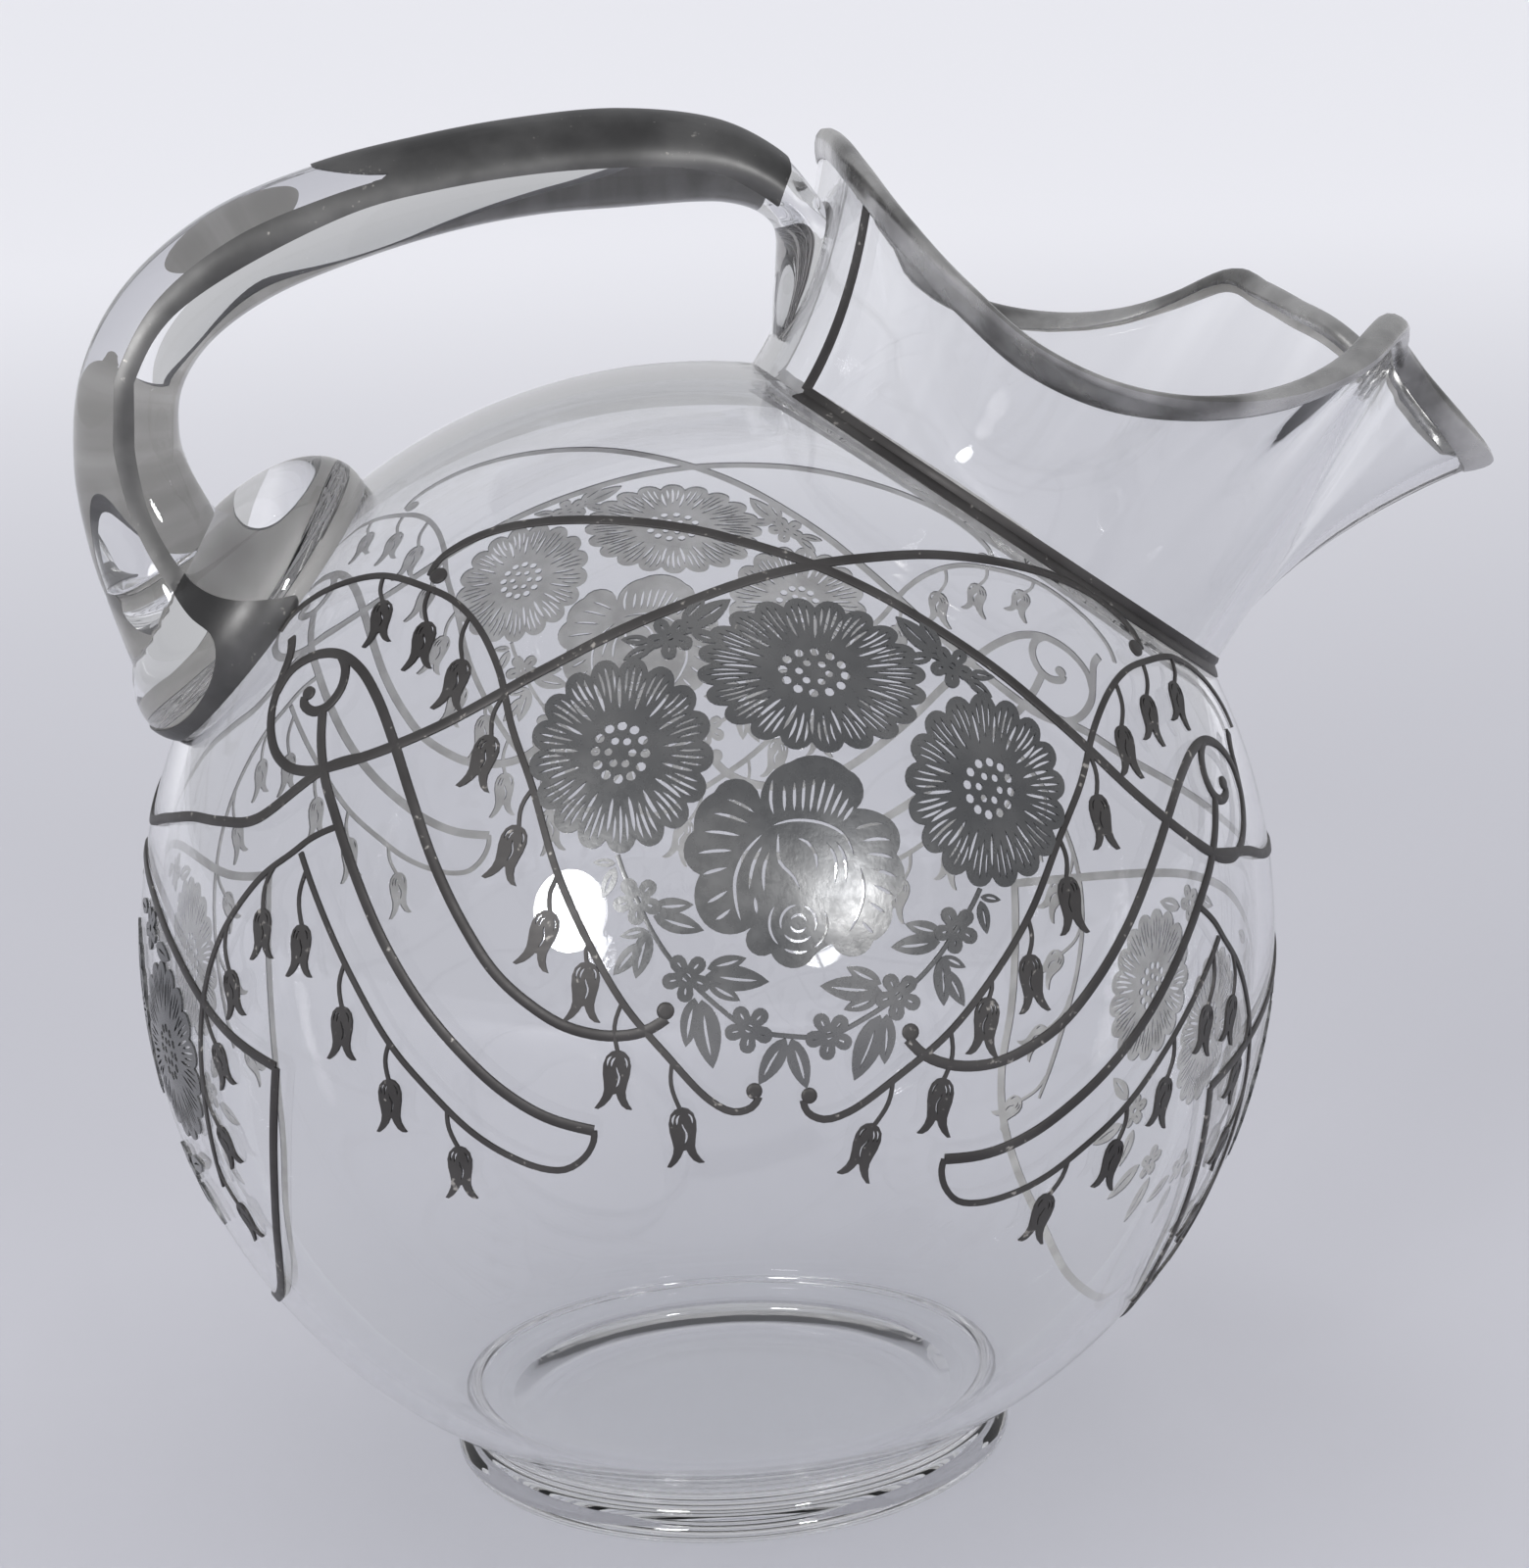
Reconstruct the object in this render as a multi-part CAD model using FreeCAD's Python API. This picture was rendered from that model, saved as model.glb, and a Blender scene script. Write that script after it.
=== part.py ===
import FreeCAD, Part
import math
import os

# Ball-shaped glass jug with an ice lip, a solid glass handle and a silver overlay.
# Millimetres, +Z up, +X towards the spout, origin on the table under the middle of the foot.

Vec = FreeCAD.Vector

# Blown glass body
ball_radius = 95.0
ball_centre_height = 92.2
wall_thickness = 3.0
base_flat_height = 6.0
base_thickness = 3.4
collar_radius = 46.0
neck_height = 60.0
neck_tilt = 36.5
neck_flare = 1.8

# Applied glass foot
foot_bead_radius = 48.2
foot_bead_height = 5.0
foot_waist_radius = 46.0
foot_top_height = 9.2
foot_contact_width = 8.0
foot_recess_depth = 2.4

# Solid glass handle
handle_half_width = 9.7
handle_pad_angle = 40.6
pad_half_length = 26.6
pad_half_width = 26.0
pad_height = 14.0

# Silver
silver_thickness = 0.4
silver_seat = 0.03
rim_band_depth = 4.4
rim_band_thickness = 0.9
collar_band_width = 3.8
neck_line_width = 1.7
neck_line_angle = 153.5
strap_width = 1.6
stem_width = 0.95
stalk_width = 0.6
ball_end_radius = 1.25
boot_band_width = 6.0

# Overlay motifs
panel_half_width = 100.0
panel_latitude = 20.3
panel_longitude = 1.4
panel_turn = -10.5
bell_height = 8.4
bell_half_width = 2.7
top_daisy_half_width = 17.5
top_daisy_half_height = 12.5
side_daisy_half_width = 13.6
side_daisy_half_height = 15.1
end_daisy_half_width = 12.6
end_daisy_half_height = 15.0
daisy_petals = 17
daisy_notch_share = 0.88
floret_radius = 3.5
floret_petals = 5
floret_notch_share = 0.6
leaf_half_width_share = 0.19
bloom_half_width = 16.4
bloom_half_height = 15.5

# One overrun serves every cut
overrun = 5.0

# Lowest and highest places on the rim: angle round the neck from the spout in degrees,
# height as a share of the neck height, radius as a share of the collar radius
rim_shares = [
    (0.0, 0.908, 1.489),
    (8.0, 0.930, 1.370),
    (13.0, 0.975, 1.110),
    (20.0, 1.000, 0.978),
    (36.0, 1.008, 0.957),
    (48.0, 1.010, 1.030),
    (57.5, 0.997, 1.120),
    (65.0, 0.870, 1.220),
    (74.0, 0.720, 1.292),
    (86.0, 0.563, 1.345),
    (98.0, 0.457, 1.350),
    (111.0, 0.417, 1.345),
    (126.0, 0.450, 1.320),
    (143.0, 0.515, 1.285),
    (161.0, 0.582, 1.245),
    (180.0, 0.625, 1.226),
]
neck_level_shares = [0.0, 0.16, 0.34, 0.54, 0.74, 0.9, 1.0]

# Handle stations from the neck pad over the top to the ball: inner and outer edge in the
# frame that runs from the neck seat to the ball seat, and half width, all as shares
handle_shares = [
    (0.130, -0.098, 0.115, -0.112, 0.41),
    (0.097, -0.050, 0.066, -0.082, 0.77),
    (0.065, -0.005, 0.018, -0.052, 0.93),
    (0.042, 0.037, -0.033, 0.000, 0.99),
    (0.051, 0.074, -0.036, 0.063, 1.00),
    (0.080, 0.108, -0.020, 0.139, 1.01),
    (0.124, 0.138, 0.037, 0.226, 1.01),
    (0.217, 0.188, 0.148, 0.312, 1.01),
    (0.332, 0.248, 0.279, 0.379, 1.00),
    (0.453, 0.296, 0.417, 0.435, 0.99),
    (0.591, 0.334, 0.569, 0.484, 0.99),
    (0.720, 0.357, 0.734, 0.511, 0.99),
    (0.828, 0.353, 0.895, 0.489, 0.99),
    (0.905, 0.322, 1.021, 0.419, 0.99),
    (0.950, 0.268, 1.108, 0.309, 1.00),
    (0.968, 0.210, 1.159, 0.194, 1.08),
    (0.972, 0.133, 1.184, 0.103, 1.28),
    (0.972, 0.048, 1.205, 0.009, 1.55),
    (0.977, -0.055, 1.220, -0.083, 1.75),
]
neck_seat_share = 0.375

# Silver saddle on the handle: station number and place across the handle,
# from -1 on the inner edge to 1 on the outer edge
saddle_side_shares = [
    (4.6, 0.75), (4.45, 0.2), (4.1, -0.4), (4.9, -0.35), (6.0, -0.16), (7.5, -0.06), (9.0, -0.02),
]
strip_low_shares = [
    (9.0, -0.02), (10.0, -0.02), (11.0, -0.03), (12.0, -0.03), (13.0, -0.03), (14.0, -0.04), (15.0, -0.06),
    (15.8, -0.16), (16.3, -0.45), (16.9, -0.62),
]
strip_high_shares = [
    (17.6, 0.1), (16.7, 0.22), (16.2, 0.33), (15.5, 0.36), (15.0, 0.36), (14.0, 0.36), (13.0, 0.37),
    (12.0, 0.38), (11.0, 0.39), (10.0, 0.41), (9.2, 0.44),
]
tongue_shares = [(9.2, 0.44), (9.6, 0.62), (10.05, 1.0)]

# Line work of one half of a side panel: out from the middle line and up, as shares of the panel half width
arc_shares = [
    (0.624, 0.476), (0.610, 0.508), (0.574, 0.535), (0.520, 0.556), (0.445, 0.565), (0.310, 0.558),
    (0.195, 0.540), (0.100, 0.515), (0.000, 0.484), (-0.100, 0.444), (-0.200, 0.394), (-0.300, 0.341),
    (-0.400, 0.281), (-0.545, 0.198), (-0.635, 0.161), (-0.700, 0.142), (-0.763, 0.130),
]
arc_ball_share = (0.607, 0.472)
spray_shares = [
    (0.945, 0.432), (0.923, 0.464), (0.873, 0.491), (0.800, 0.503), (0.720, 0.496), (0.630, 0.453),
    (0.570, 0.415), (0.520, 0.360), (0.476, 0.279), (0.446, 0.185), (0.405, 0.090), (0.357, -0.036),
    (0.305, -0.132), (0.243, -0.222), (0.175, -0.290), (0.104, -0.352), (0.068, -0.366), (0.042, -0.357),
    (0.033, -0.340),
]
spray_ball_share = (0.041, -0.332)
loop_shares = [
    (0.905, 0.405), (0.898, 0.368), (0.906, 0.320), (0.915, 0.260), (0.905, 0.205), (0.883, 0.165),
    (0.845, 0.136), (0.795, 0.126), (0.763, 0.130),
]
inner_strap_shares = [
    (0.910, 0.290), (0.885, 0.330), (0.835, 0.350), (0.778, 0.342), (0.728, 0.306), (0.683, 0.245),
    (0.642, 0.167), (0.600, 0.075), (0.548, -0.035), (0.495, -0.122), (0.439, -0.192), (0.382, -0.235),
    (0.326, -0.262), (0.261, -0.270), (0.211, -0.259), (0.180, -0.237),
]
inner_strap_ball_share = (0.182, -0.226)
spiral_shares = [
    (0.775, 0.342), (0.758, 0.310), (0.760, 0.272), (0.783, 0.242), (0.812, 0.236), (0.837, 0.254),
    (0.838, 0.268),
]
spiral_ball_share = (0.830, 0.274)
outer_strap_shares = [
    (0.792, 0.238), (0.783, 0.170), (0.764, 0.106), (0.737, 0.048), (0.695, -0.038), (0.625, -0.160),
    (0.556, -0.250), (0.486, -0.318), (0.417, -0.370), (0.347, -0.403), (0.271, -0.416),
]
return_stem_shares = [
    (0.271, -0.416), (0.270, -0.433), (0.282, -0.461), (0.310, -0.484), (0.347, -0.487), (0.404, -0.472),
    (0.464, -0.442), (0.534, -0.387), (0.604, -0.322), (0.680, -0.220), (0.740, -0.125), (0.800, -0.015),
]
fall_stem_shares = [
    (0.728, 0.029), (0.780, 0.010), (0.820, -0.015), (0.880, -0.050), (0.935, -0.100), (0.985, -0.160),
    (1.020, -0.225), (1.044, -0.295), (1.059, -0.377), (1.065, -0.468), (1.065, -0.577), (1.059, -0.695),
]

# Bellflowers of one half panel: where the stalk leaves its stem, the top of the cup and its lower end
bell_shares = [
    (0.718, 0.492, 0.705, 0.437, 0.703, 0.358),
    (0.617, 0.446, 0.611, 0.379, 0.618, 0.291),
    (0.536, 0.382, 0.538, 0.302, 0.555, 0.221),
    (0.463, 0.237, 0.476, 0.171, 0.496, 0.095),
    (0.403, 0.089, 0.420, 0.031, 0.443, -0.050),
    (0.356, -0.043, 0.362, -0.094, 0.382, -0.167),
    (0.302, -0.137, 0.301, -0.164, 0.303, -0.244),
    (0.246, -0.220, 0.245, -0.290, 0.245, -0.352),
    (0.165, -0.300, 0.145, -0.367, 0.132, -0.435),
    (0.786, -0.047, 0.786, -0.135, 0.789, -0.220),
    (0.697, -0.195, 0.698, -0.265, 0.698, -0.350),
    (0.609, -0.316, 0.607, -0.375, 0.601, -0.457),
    (0.505, -0.413, 0.482, -0.470, 0.475, -0.557),
    (0.855, -0.035, 0.877, -0.110, 0.875, -0.205),
    (0.968, -0.140, 0.958, -0.222, 0.940, -0.312),
    (1.036, -0.270, 1.005, -0.365, 0.972, -0.455),
    (1.060, -0.440, 1.023, -0.540, 0.972, -0.630),
    (1.060, -0.640, 1.009, -0.718, 0.959, -0.795),
]
# Cup outline: across as a share of the half width, down as a share of the cup height
bell_side_shares = [(0.10, 0.0), (0.62, 0.10), (0.84, 0.34), (0.74, 0.64), (1.0, 0.95)]
bell_notch_share = (0.48, 0.80)

# Flowers of the wreath on one half panel
side_daisy_share = (0.278, 0.147)
top_daisy_share = (0.0, 0.293)
floret_shares = [(0.217, 0.334), (0.236, -0.070), (0.156, -0.175), (0.059, -0.241)]
leaf_shares = [
    (0.192, 0.352, 0.128, 0.406), (0.200, 0.360, 0.167, 0.405), (0.186, 0.345, 0.137, 0.332),
    (0.247, 0.328, 0.290, 0.329), (0.243, 0.318, 0.284, 0.294), (0.272, -0.018, 0.305, -0.019),
    (0.272, -0.024, 0.287, -0.071), (0.215, -0.078, 0.155, -0.070), (0.212, -0.091, 0.137, -0.106),
    (0.218, -0.112, 0.257, -0.124), (0.217, -0.112, 0.229, -0.183), (0.225, -0.130, 0.262, -0.181),
    (0.130, -0.170, 0.037, -0.171), (0.128, -0.160, 0.073, -0.140), (0.126, -0.180, 0.076, -0.202),
    (0.132, -0.205, 0.105, -0.304), (0.142, -0.203, 0.148, -0.276), (0.004, -0.250, 0.036, -0.322),
]
wreath_stem_shares = [
    (0.270, -0.006), (0.255, -0.040), (0.236, -0.070), (0.216, -0.106), (0.187, -0.145), (0.156, -0.175),
    (0.109, -0.212), (0.059, -0.241), (0.000, -0.247),
]
top_stem_shares = [(0.170, 0.352), (0.217, 0.334), (0.262, 0.300)]

# Large bloom in the middle: notch and lobe points in turn, across and up as shares of its half sizes
bloom_share = (-0.012, 0.006)
bloom_shares = [
    (0.50, 0.54), (0.55, 0.75), (0.41, 0.90), (0.10, 1.01), (-0.12, 0.92), (-0.31, 0.75), (-0.36, 0.54),
    (-0.57, 0.72), (-0.77, 0.57), (-0.91, 0.39), (-0.92, 0.20), (-1.00, 0.02), (-0.84, -0.21),
    (-0.85, -0.52), (-0.77, -0.65), (-0.55, -0.74), (-0.36, -0.66), (-0.31, -0.90), (-0.16, -0.88),
    (0.02, -1.00), (0.18, -0.93), (0.32, -0.77), (0.37, -0.74), (0.59, -0.84), (0.74, -0.68),
    (0.89, -0.46), (0.87, -0.30), (0.98, -0.05), (0.89, 0.15), (0.90, 0.36), (0.76, 0.50), (0.63, 0.54),
]

# End panels under the handle and under the spout, one half: out from the middle and up, as shares
link_back_shares = [(0.500, 0.388), (0.400, 0.360), (0.300, 0.343), (0.175, 0.310), (0.000, 0.270)]
link_front_shares = [(0.588, 0.213), (0.500, 0.188), (0.400, 0.152), (0.250, 0.126), (0.000, 0.110)]
frame_top_back_shares = [(0.631, 0.004), (0.500, 0.040), (0.300, 0.138), (0.175, 0.185), (0.000, 0.212)]
frame_side_back_shares = [
    (0.631, 0.004), (0.606, -0.100), (0.563, -0.219), (0.513, -0.313), (0.450, -0.400), (0.360, -0.480),
    (0.200, -0.550), (0.000, -0.590),
]
frame_top_front_shares = [
    (0.700, -0.169), (0.560, -0.130), (0.330, -0.070), (0.180, -0.040), (0.000, -0.025),
]
frame_side_front_shares = [
    (0.700, -0.169), (0.669, -0.300), (0.631, -0.425), (0.588, -0.550), (0.520, -0.640), (0.400, -0.720),
    (0.220, -0.780), (0.000, -0.810),
]
front_flower_drop_share = 0.225
end_daisy_share = (0.275, -0.055)
end_floret_shares = [(0.190, 0.130), (0.170, -0.280)]
end_middle_floret_share = -0.330
end_leaf_shares = [
    (0.230, 0.112, 0.300, 0.105), (0.150, 0.150, 0.090, 0.150), (0.215, -0.270, 0.290, -0.250),
    (0.190, -0.315, 0.240, -0.380), (0.140, -0.310, 0.110, -0.380), (0.040, -0.350, 0.070, -0.440),
]

ball_centre = Vec(0, 0, ball_centre_height)
collar_distance = math.sqrt(ball_radius ** 2 - collar_radius ** 2)
neck_axis = Vec(math.sin(math.radians(neck_tilt)), 0, math.cos(math.radians(neck_tilt)))
spout_axis = Vec(math.cos(math.radians(neck_tilt)), 0, -math.sin(math.radians(neck_tilt)))
side_axis = Vec(0, 1, 0)
collar_centre = ball_centre + neck_axis * collar_distance


def unit(vector):
    return vector / vector.Length


def save(name, shape):
    shape.exportStep(os.path.join("parts", name + ".step"))
    print(name, "solids", len(shape.Solids), "volume", round(shape.Volume, 2), "valid", shape.isValid())


def spline(points):
    curve = Part.BSplineCurve()
    curve.interpolate(points)
    return curve.toShape()


def closed_spline(points, angles):
    curve = Part.BSplineCurve()
    curve.interpolate(Points=points, PeriodicFlag=True, Parameters=angles)
    return curve.toShape()


def sewn_solid(faces):
    shell = Part.Shell(faces)
    shell.sewShape()
    solid = Part.Solid(shell.Shells[0])
    solid.fix(silver_seat, silver_seat, silver_seat)
    return solid


def mirrored(shape):
    return shape.mirror(Vec(0, 0, 0), side_axis)


def fused(shapes):
    if len(shapes) == 1:
        return shapes[0]
    return shapes[0].multiFuse(shapes[1:])


# Neck: one row of rim stations round the whole circle, shared by every level
def full_rim():
    half = []
    for angle, height, radius in rim_shares:
        half.append((math.radians(angle), height * neck_height, radius * collar_radius))
    back = [(2 * math.pi - angle, height, radius) for angle, height, radius in reversed(half[1:-1])]
    return half + back


rim_stations = full_rim()
rim_angles = [station[0] for station in rim_stations] + [2 * math.pi]


def level_row(level):
    return [level for station in rim_stations]


def drop_row(drop):
    """Levels that lie a given height below the rim all the way round."""
    return [1 - drop / height for angle, height, radius in rim_stations]


def neck_row(levels, inset):
    """Points round the neck at one level for each rim station, moved inward by inset."""
    flat = []
    heights = []
    for (angle, height, radius), level in zip(rim_stations, levels):
        reach = collar_radius + (radius - collar_radius) * level ** neck_flare
        flat.append(Vec(reach * math.cos(angle), reach * math.sin(angle), 0))
        heights.append(height * level)
    points = []
    for index, place in enumerate(flat):
        along = flat[(index + 1) % len(flat)] - flat[index - 1]
        moved = place - unit(Vec(along.y, -along.x, 0)) * inset
        out = spout_axis * moved.x + side_axis * moved.y
        points.append(collar_centre + out + neck_axis * heights[index])
    return points


def neck_skin(inset):
    base = Part.Circle(collar_centre, neck_axis, collar_radius - inset)
    base.XAxis = spout_axis
    edges = [base.toShape()]
    for level in neck_level_shares[1:]:
        edges.append(closed_spline(neck_row(level_row(level), inset), rim_angles))
    wires = [Part.Wire(edge) for edge in edges]
    return Part.makeLoft(wires, False, False).Faces[0], edges[0], edges[-1]


def glass_neck():
    outer, outer_foot, outer_rim = neck_skin(0)
    inner, inner_foot, inner_rim = neck_skin(wall_thickness)
    cap = Part.makeRuledSurface(outer_rim, inner_rim)
    base = Part.Face([Part.Wire(outer_foot), Part.Wire(inner_foot)])
    return sewn_solid([outer, inner, cap, base])


def ball_solid():
    """The full outside of the ball with its flat base, used to seat what is stuck on it."""
    ball = Part.makeSphere(ball_radius, ball_centre)
    below = Part.makeCylinder(ball_radius, base_flat_height + ball_radius, Vec(0, 0, -ball_radius))
    return ball.cut(below)


def glass_body():
    above = Part.makeCylinder(ball_radius, ball_radius, collar_centre, neck_axis)
    outside = ball_solid().cut(above)
    inside = Part.makeSphere(ball_radius - wall_thickness, ball_centre)
    floor_height = base_flat_height + base_thickness
    below = Part.makeCylinder(ball_radius, floor_height + ball_radius, Vec(0, 0, -ball_radius))
    mouth_start = ball_centre + neck_axis * (ball_radius / 2)
    mouth = Part.makeCylinder(collar_radius - wall_thickness, ball_radius, mouth_start, neck_axis)
    ball = outside.cut(inside.cut(below)).cut(mouth)
    return ball.fuse(glass_neck()).removeSplitter()


def glass_foot():
    contact_radius = foot_waist_radius
    recess_radius = contact_radius - foot_contact_width
    bead_middle = foot_bead_height / 2
    bead = Part.Arc(
        Vec(contact_radius, 0, 0),
        Vec(foot_bead_radius, 0, bead_middle),
        Vec(foot_waist_radius, 0, foot_bead_height),
    )
    flare_radius = foot_waist_radius + (foot_bead_radius - foot_waist_radius) / 2
    waist_dip = foot_waist_radius - (foot_bead_radius - foot_waist_radius) / 4
    waist = Part.Arc(
        Vec(foot_waist_radius, 0, foot_bead_height),
        Vec(waist_dip, 0, (foot_bead_height + foot_top_height) / 2),
        Vec(flare_radius, 0, foot_top_height + wall_thickness),
    )
    corners = [
        Vec(flare_radius, 0, foot_top_height + wall_thickness),
        Vec(0, 0, foot_top_height + wall_thickness),
        Vec(0, 0, foot_recess_depth),
        Vec(recess_radius - foot_recess_depth, 0, foot_recess_depth),
        Vec(recess_radius, 0, 0),
        Vec(contact_radius, 0, 0),
    ]
    edges = [bead.toShape(), waist.toShape()]
    for start, end in zip(corners[:-1], corners[1:]):
        edges.append(Part.makeLine(start, end))
    profile = Part.Face(Part.Wire(edges))
    ring = profile.revolve(Vec(0, 0, 0), Vec(0, 0, 1), 360)
    return ring.cut(ball_solid())


# Handle frame: from its seat on the neck's back wall to its seat on the ball
def neck_back_point(height):
    level = height / (rim_shares[-1][1] * neck_height)
    rim_radius = rim_shares[-1][2] * collar_radius
    reach = collar_radius + (rim_radius - collar_radius) * level ** neck_flare
    return collar_centre + neck_axis * height - spout_axis * reach


neck_seat = neck_back_point(neck_seat_share * neck_height)
pad_normal = Vec(-math.cos(math.radians(handle_pad_angle)), 0, math.sin(math.radians(handle_pad_angle)))
ball_seat = ball_centre + pad_normal * ball_radius
handle_span = (ball_seat - neck_seat).Length
handle_run = unit(ball_seat - neck_seat)
handle_rise = Vec(handle_run.z, 0, -handle_run.x)


def handle_place(run, rise):
    return neck_seat + handle_run * (run * handle_span) + handle_rise * (rise * handle_span)


def handle_section(row, grow):
    """Elliptical section of the handle at one station, grown by a plating thickness."""
    inner = handle_place(row[0], row[1])
    outer = handle_place(row[2], row[3])
    half_width = row[4] * handle_half_width + grow
    centre = (inner + outer) / 2
    half_depth = (outer - inner).Length / 2 + grow
    outward = unit(outer - inner)
    points = []
    angles = [math.pi * step / 6 for step in range(13)]
    for angle in angles[:-1]:
        rise = outward * (half_depth * math.cos(angle))
        points.append(centre + rise + side_axis * (half_width * math.sin(angle)))
    return Part.Wire(closed_spline(points, angles))


def handle_arch(grow):
    return Part.makeLoft([handle_section(row, grow) for row in handle_shares], True, False)


def handle_pad(grow):
    """Flattened dome where the handle is pressed on the ball."""
    length = pad_normal.cross(side_axis) * (pad_half_length + grow)
    width = side_axis * (pad_half_width + grow)
    height = pad_normal * (pad_height + grow)
    frame = FreeCAD.Matrix(
        length.x, width.x, height.x, ball_seat.x,
        length.y, width.y, height.y, ball_seat.y,
        length.z, width.z, height.z, ball_seat.z,
        0, 0, 0, 1,
    )
    return Part.makeSphere(1).transformGeometry(frame)


def handle_blank(grow):
    return handle_arch(grow).fuse(handle_pad(grow))


def largest(shape):
    return max(shape.Solids, key=lambda solid: solid.Volume)


def handle_side_place(station, across):
    """Point in the plane of the handle from a station number and a place across it."""
    low = min(int(station), len(handle_shares) - 2)
    mix = station - low
    row = [a + (b - a) * mix for a, b in zip(handle_shares[low], handle_shares[low + 1])]
    inner = handle_place(row[0], row[1])
    outer = handle_place(row[2], row[3])
    return inner + (outer - inner) * ((1 + across) / 2)


def side_line(shares):
    return spline([handle_side_place(station, across) for station, across in shares])


def side_prism(edges):
    reach = pad_half_width + overrun
    face = Part.Face(Part.Wire(edges))
    face.translate(side_axis * -reach)
    return face.extrude(side_axis * (2 * reach))


def handle_skin():
    return handle_blank(silver_thickness + silver_seat).cut(handle_blank(silver_seat))


def saddle_prism():
    """Side view of the saddle over the top, the tongue behind it and the strips down the sides."""
    lines = [side_line(shares) for shares in (
        saddle_side_shares[:3], saddle_side_shares[2:], strip_low_shares, strip_high_shares, tongue_shares)]
    clear = handle_rise * overrun
    above = [handle_side_place(*tongue_shares[-1]) + clear]
    above += [handle_side_place(station, 1) + clear for station in (8, 6)]
    above += [handle_side_place(saddle_side_shares[0][0], 1) + clear]
    corners = [handle_side_place(*tongue_shares[-1])] + above + [handle_side_place(*saddle_side_shares[0])]
    lines += [Part.makeLine(start, end) for start, end in zip(corners[:-1], corners[1:])]
    strip_end = [handle_side_place(*share) for share in (strip_low_shares[-1], strip_high_shares[0])]
    lines.append(Part.makeLine(*strip_end))
    return side_prism(Part.sortEdges(lines)[0])


def boot_zone():
    """Where the silver follows the pad's lower edge: close to the ball, below the pad's widest place."""
    close = Part.makeSphere(ball_radius + boot_band_width, ball_centre)
    down = pad_normal.cross(side_axis)
    below = Part.makeCylinder(pad_half_length * 2, pad_half_length * 2, ball_seat, down)
    return close.common(below)


def handle_strap(body):
    skin = handle_skin()
    pieces = skin.common(saddle_prism()).fuse(skin.common(boot_zone()))
    seated = pieces.cut(ball_solid()).cut(body)
    return Part.Compound(seated.Solids)


def glass_handle(body):
    blank = handle_blank(0)
    return largest(blank.cut(ball_solid()).cut(body))


# Silver on the neck
def rim_band():
    """A folded band round the rim: outside, over the edge and a little way down inside."""
    clear = silver_seat
    skin = silver_seat + rim_band_thickness
    inside = wall_thickness
    rows = [
        (rim_band_depth, -skin),
        (rim_band_thickness, -skin - rim_band_thickness / 2),
        (-rim_band_thickness, -skin / 2),
        (-skin - rim_band_thickness / 2, inside / 2),
        (-rim_band_thickness, inside + skin / 2),
        (rim_band_thickness, inside + skin + rim_band_thickness / 2),
        (rim_band_depth, inside + skin),
        (rim_band_depth, inside + clear),
        (-clear, inside + clear),
        (-clear, -clear),
        (rim_band_depth, -clear),
    ]
    edges = [closed_spline(neck_row(drop_row(drop), inset), rim_angles) for drop, inset in rows]
    faces = [Part.makeRuledSurface(edge, edges[index - 1]) for index, edge in enumerate(edges)]
    return sewn_solid(faces)


def collar_point(along, lift):
    """Point of the collar section: along the ball below the crease, or up the neck above it."""
    if along < 0:
        turn = math.asin(collar_radius / ball_radius) - along / ball_radius
        reach = ball_radius + lift
        return Vec(reach * math.sin(turn), 0, reach * math.cos(turn) - collar_distance)
    return Vec(collar_radius + lift, 0, along)


def neck_place(flat):
    return collar_centre + spout_axis * flat.x + side_axis * flat.y + neck_axis * flat.z


def collar_band():
    """Silver band along the crease between ball and neck, open at the back."""
    half = collar_band_width / 2
    top = silver_seat + silver_thickness
    lean = max((radius - collar_radius) * (half / height) ** neck_flare for angle, height, radius in rim_stations)
    flat = [
        collar_point(-half, silver_seat), collar_point(-half, top), collar_point(half, top + lean),
        collar_point(half, silver_seat + lean), collar_point(silver_seat, silver_seat),
    ]
    section = Part.Face(Part.makePolygon([neck_place(place) for place in flat + flat[:1]]))
    section.rotate(collar_centre, neck_axis, -neck_line_angle)
    return section.revolve(collar_centre, neck_axis, 2 * neck_line_angle)


def neck_line(side):
    """Straight silver line up the neck from the end of the collar band to the rim band."""
    angle = math.radians(neck_line_angle)
    height, radius = rim_at(neck_line_angle)
    start = (collar_band_width / 2 + silver_seat) / height
    stop = 1 - (rim_band_depth + silver_seat) / height
    wires = []
    for step in range(len(neck_level_shares)):
        level = start + (stop - start) * step / (len(neck_level_shares) - 1)
        reach = collar_radius + (radius - collar_radius) * level ** neck_flare
        out = spout_axis * math.cos(angle) + side_axis * (side * math.sin(angle))
        across = neck_axis.cross(out) * (neck_line_width / 2)
        base = collar_centre + neck_axis * (height * level) + out * (reach + silver_seat)
        lift = out * silver_thickness
        corners = [base - across, base + across, base + across + lift, base - across + lift]
        wires.append(Part.makePolygon(corners + corners[:1]))
    return Part.makeLoft(wires, True, False)


def rim_at(angle):
    """Rim height and radius at an angle, straight between the two nearest stations."""
    for low, high in zip(rim_shares[:-1], rim_shares[1:]):
        if low[0] <= angle <= high[0]:
            mix = (angle - low[0]) / (high[0] - low[0])
            height = low[1] + (high[1] - low[1]) * mix
            radius = low[2] + (high[2] - low[2]) * mix
            return height * neck_height, radius * collar_radius


# Silver on the ball: flat outlines carried out along rays from the ball's centre
def panel_frame(latitude, longitude, turn):
    lat, lon, spin = [math.radians(angle) for angle in (latitude, longitude, turn)]
    out = Vec(math.cos(lat) * math.sin(lon), -math.cos(lat) * math.cos(lon), math.sin(lat))
    east = Vec(math.cos(lon), math.sin(lon), 0)
    north = out.cross(east)
    across = east * math.cos(spin) + north * math.sin(spin)
    up = north * math.cos(spin) - east * math.sin(spin)
    return out, across, up


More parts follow.
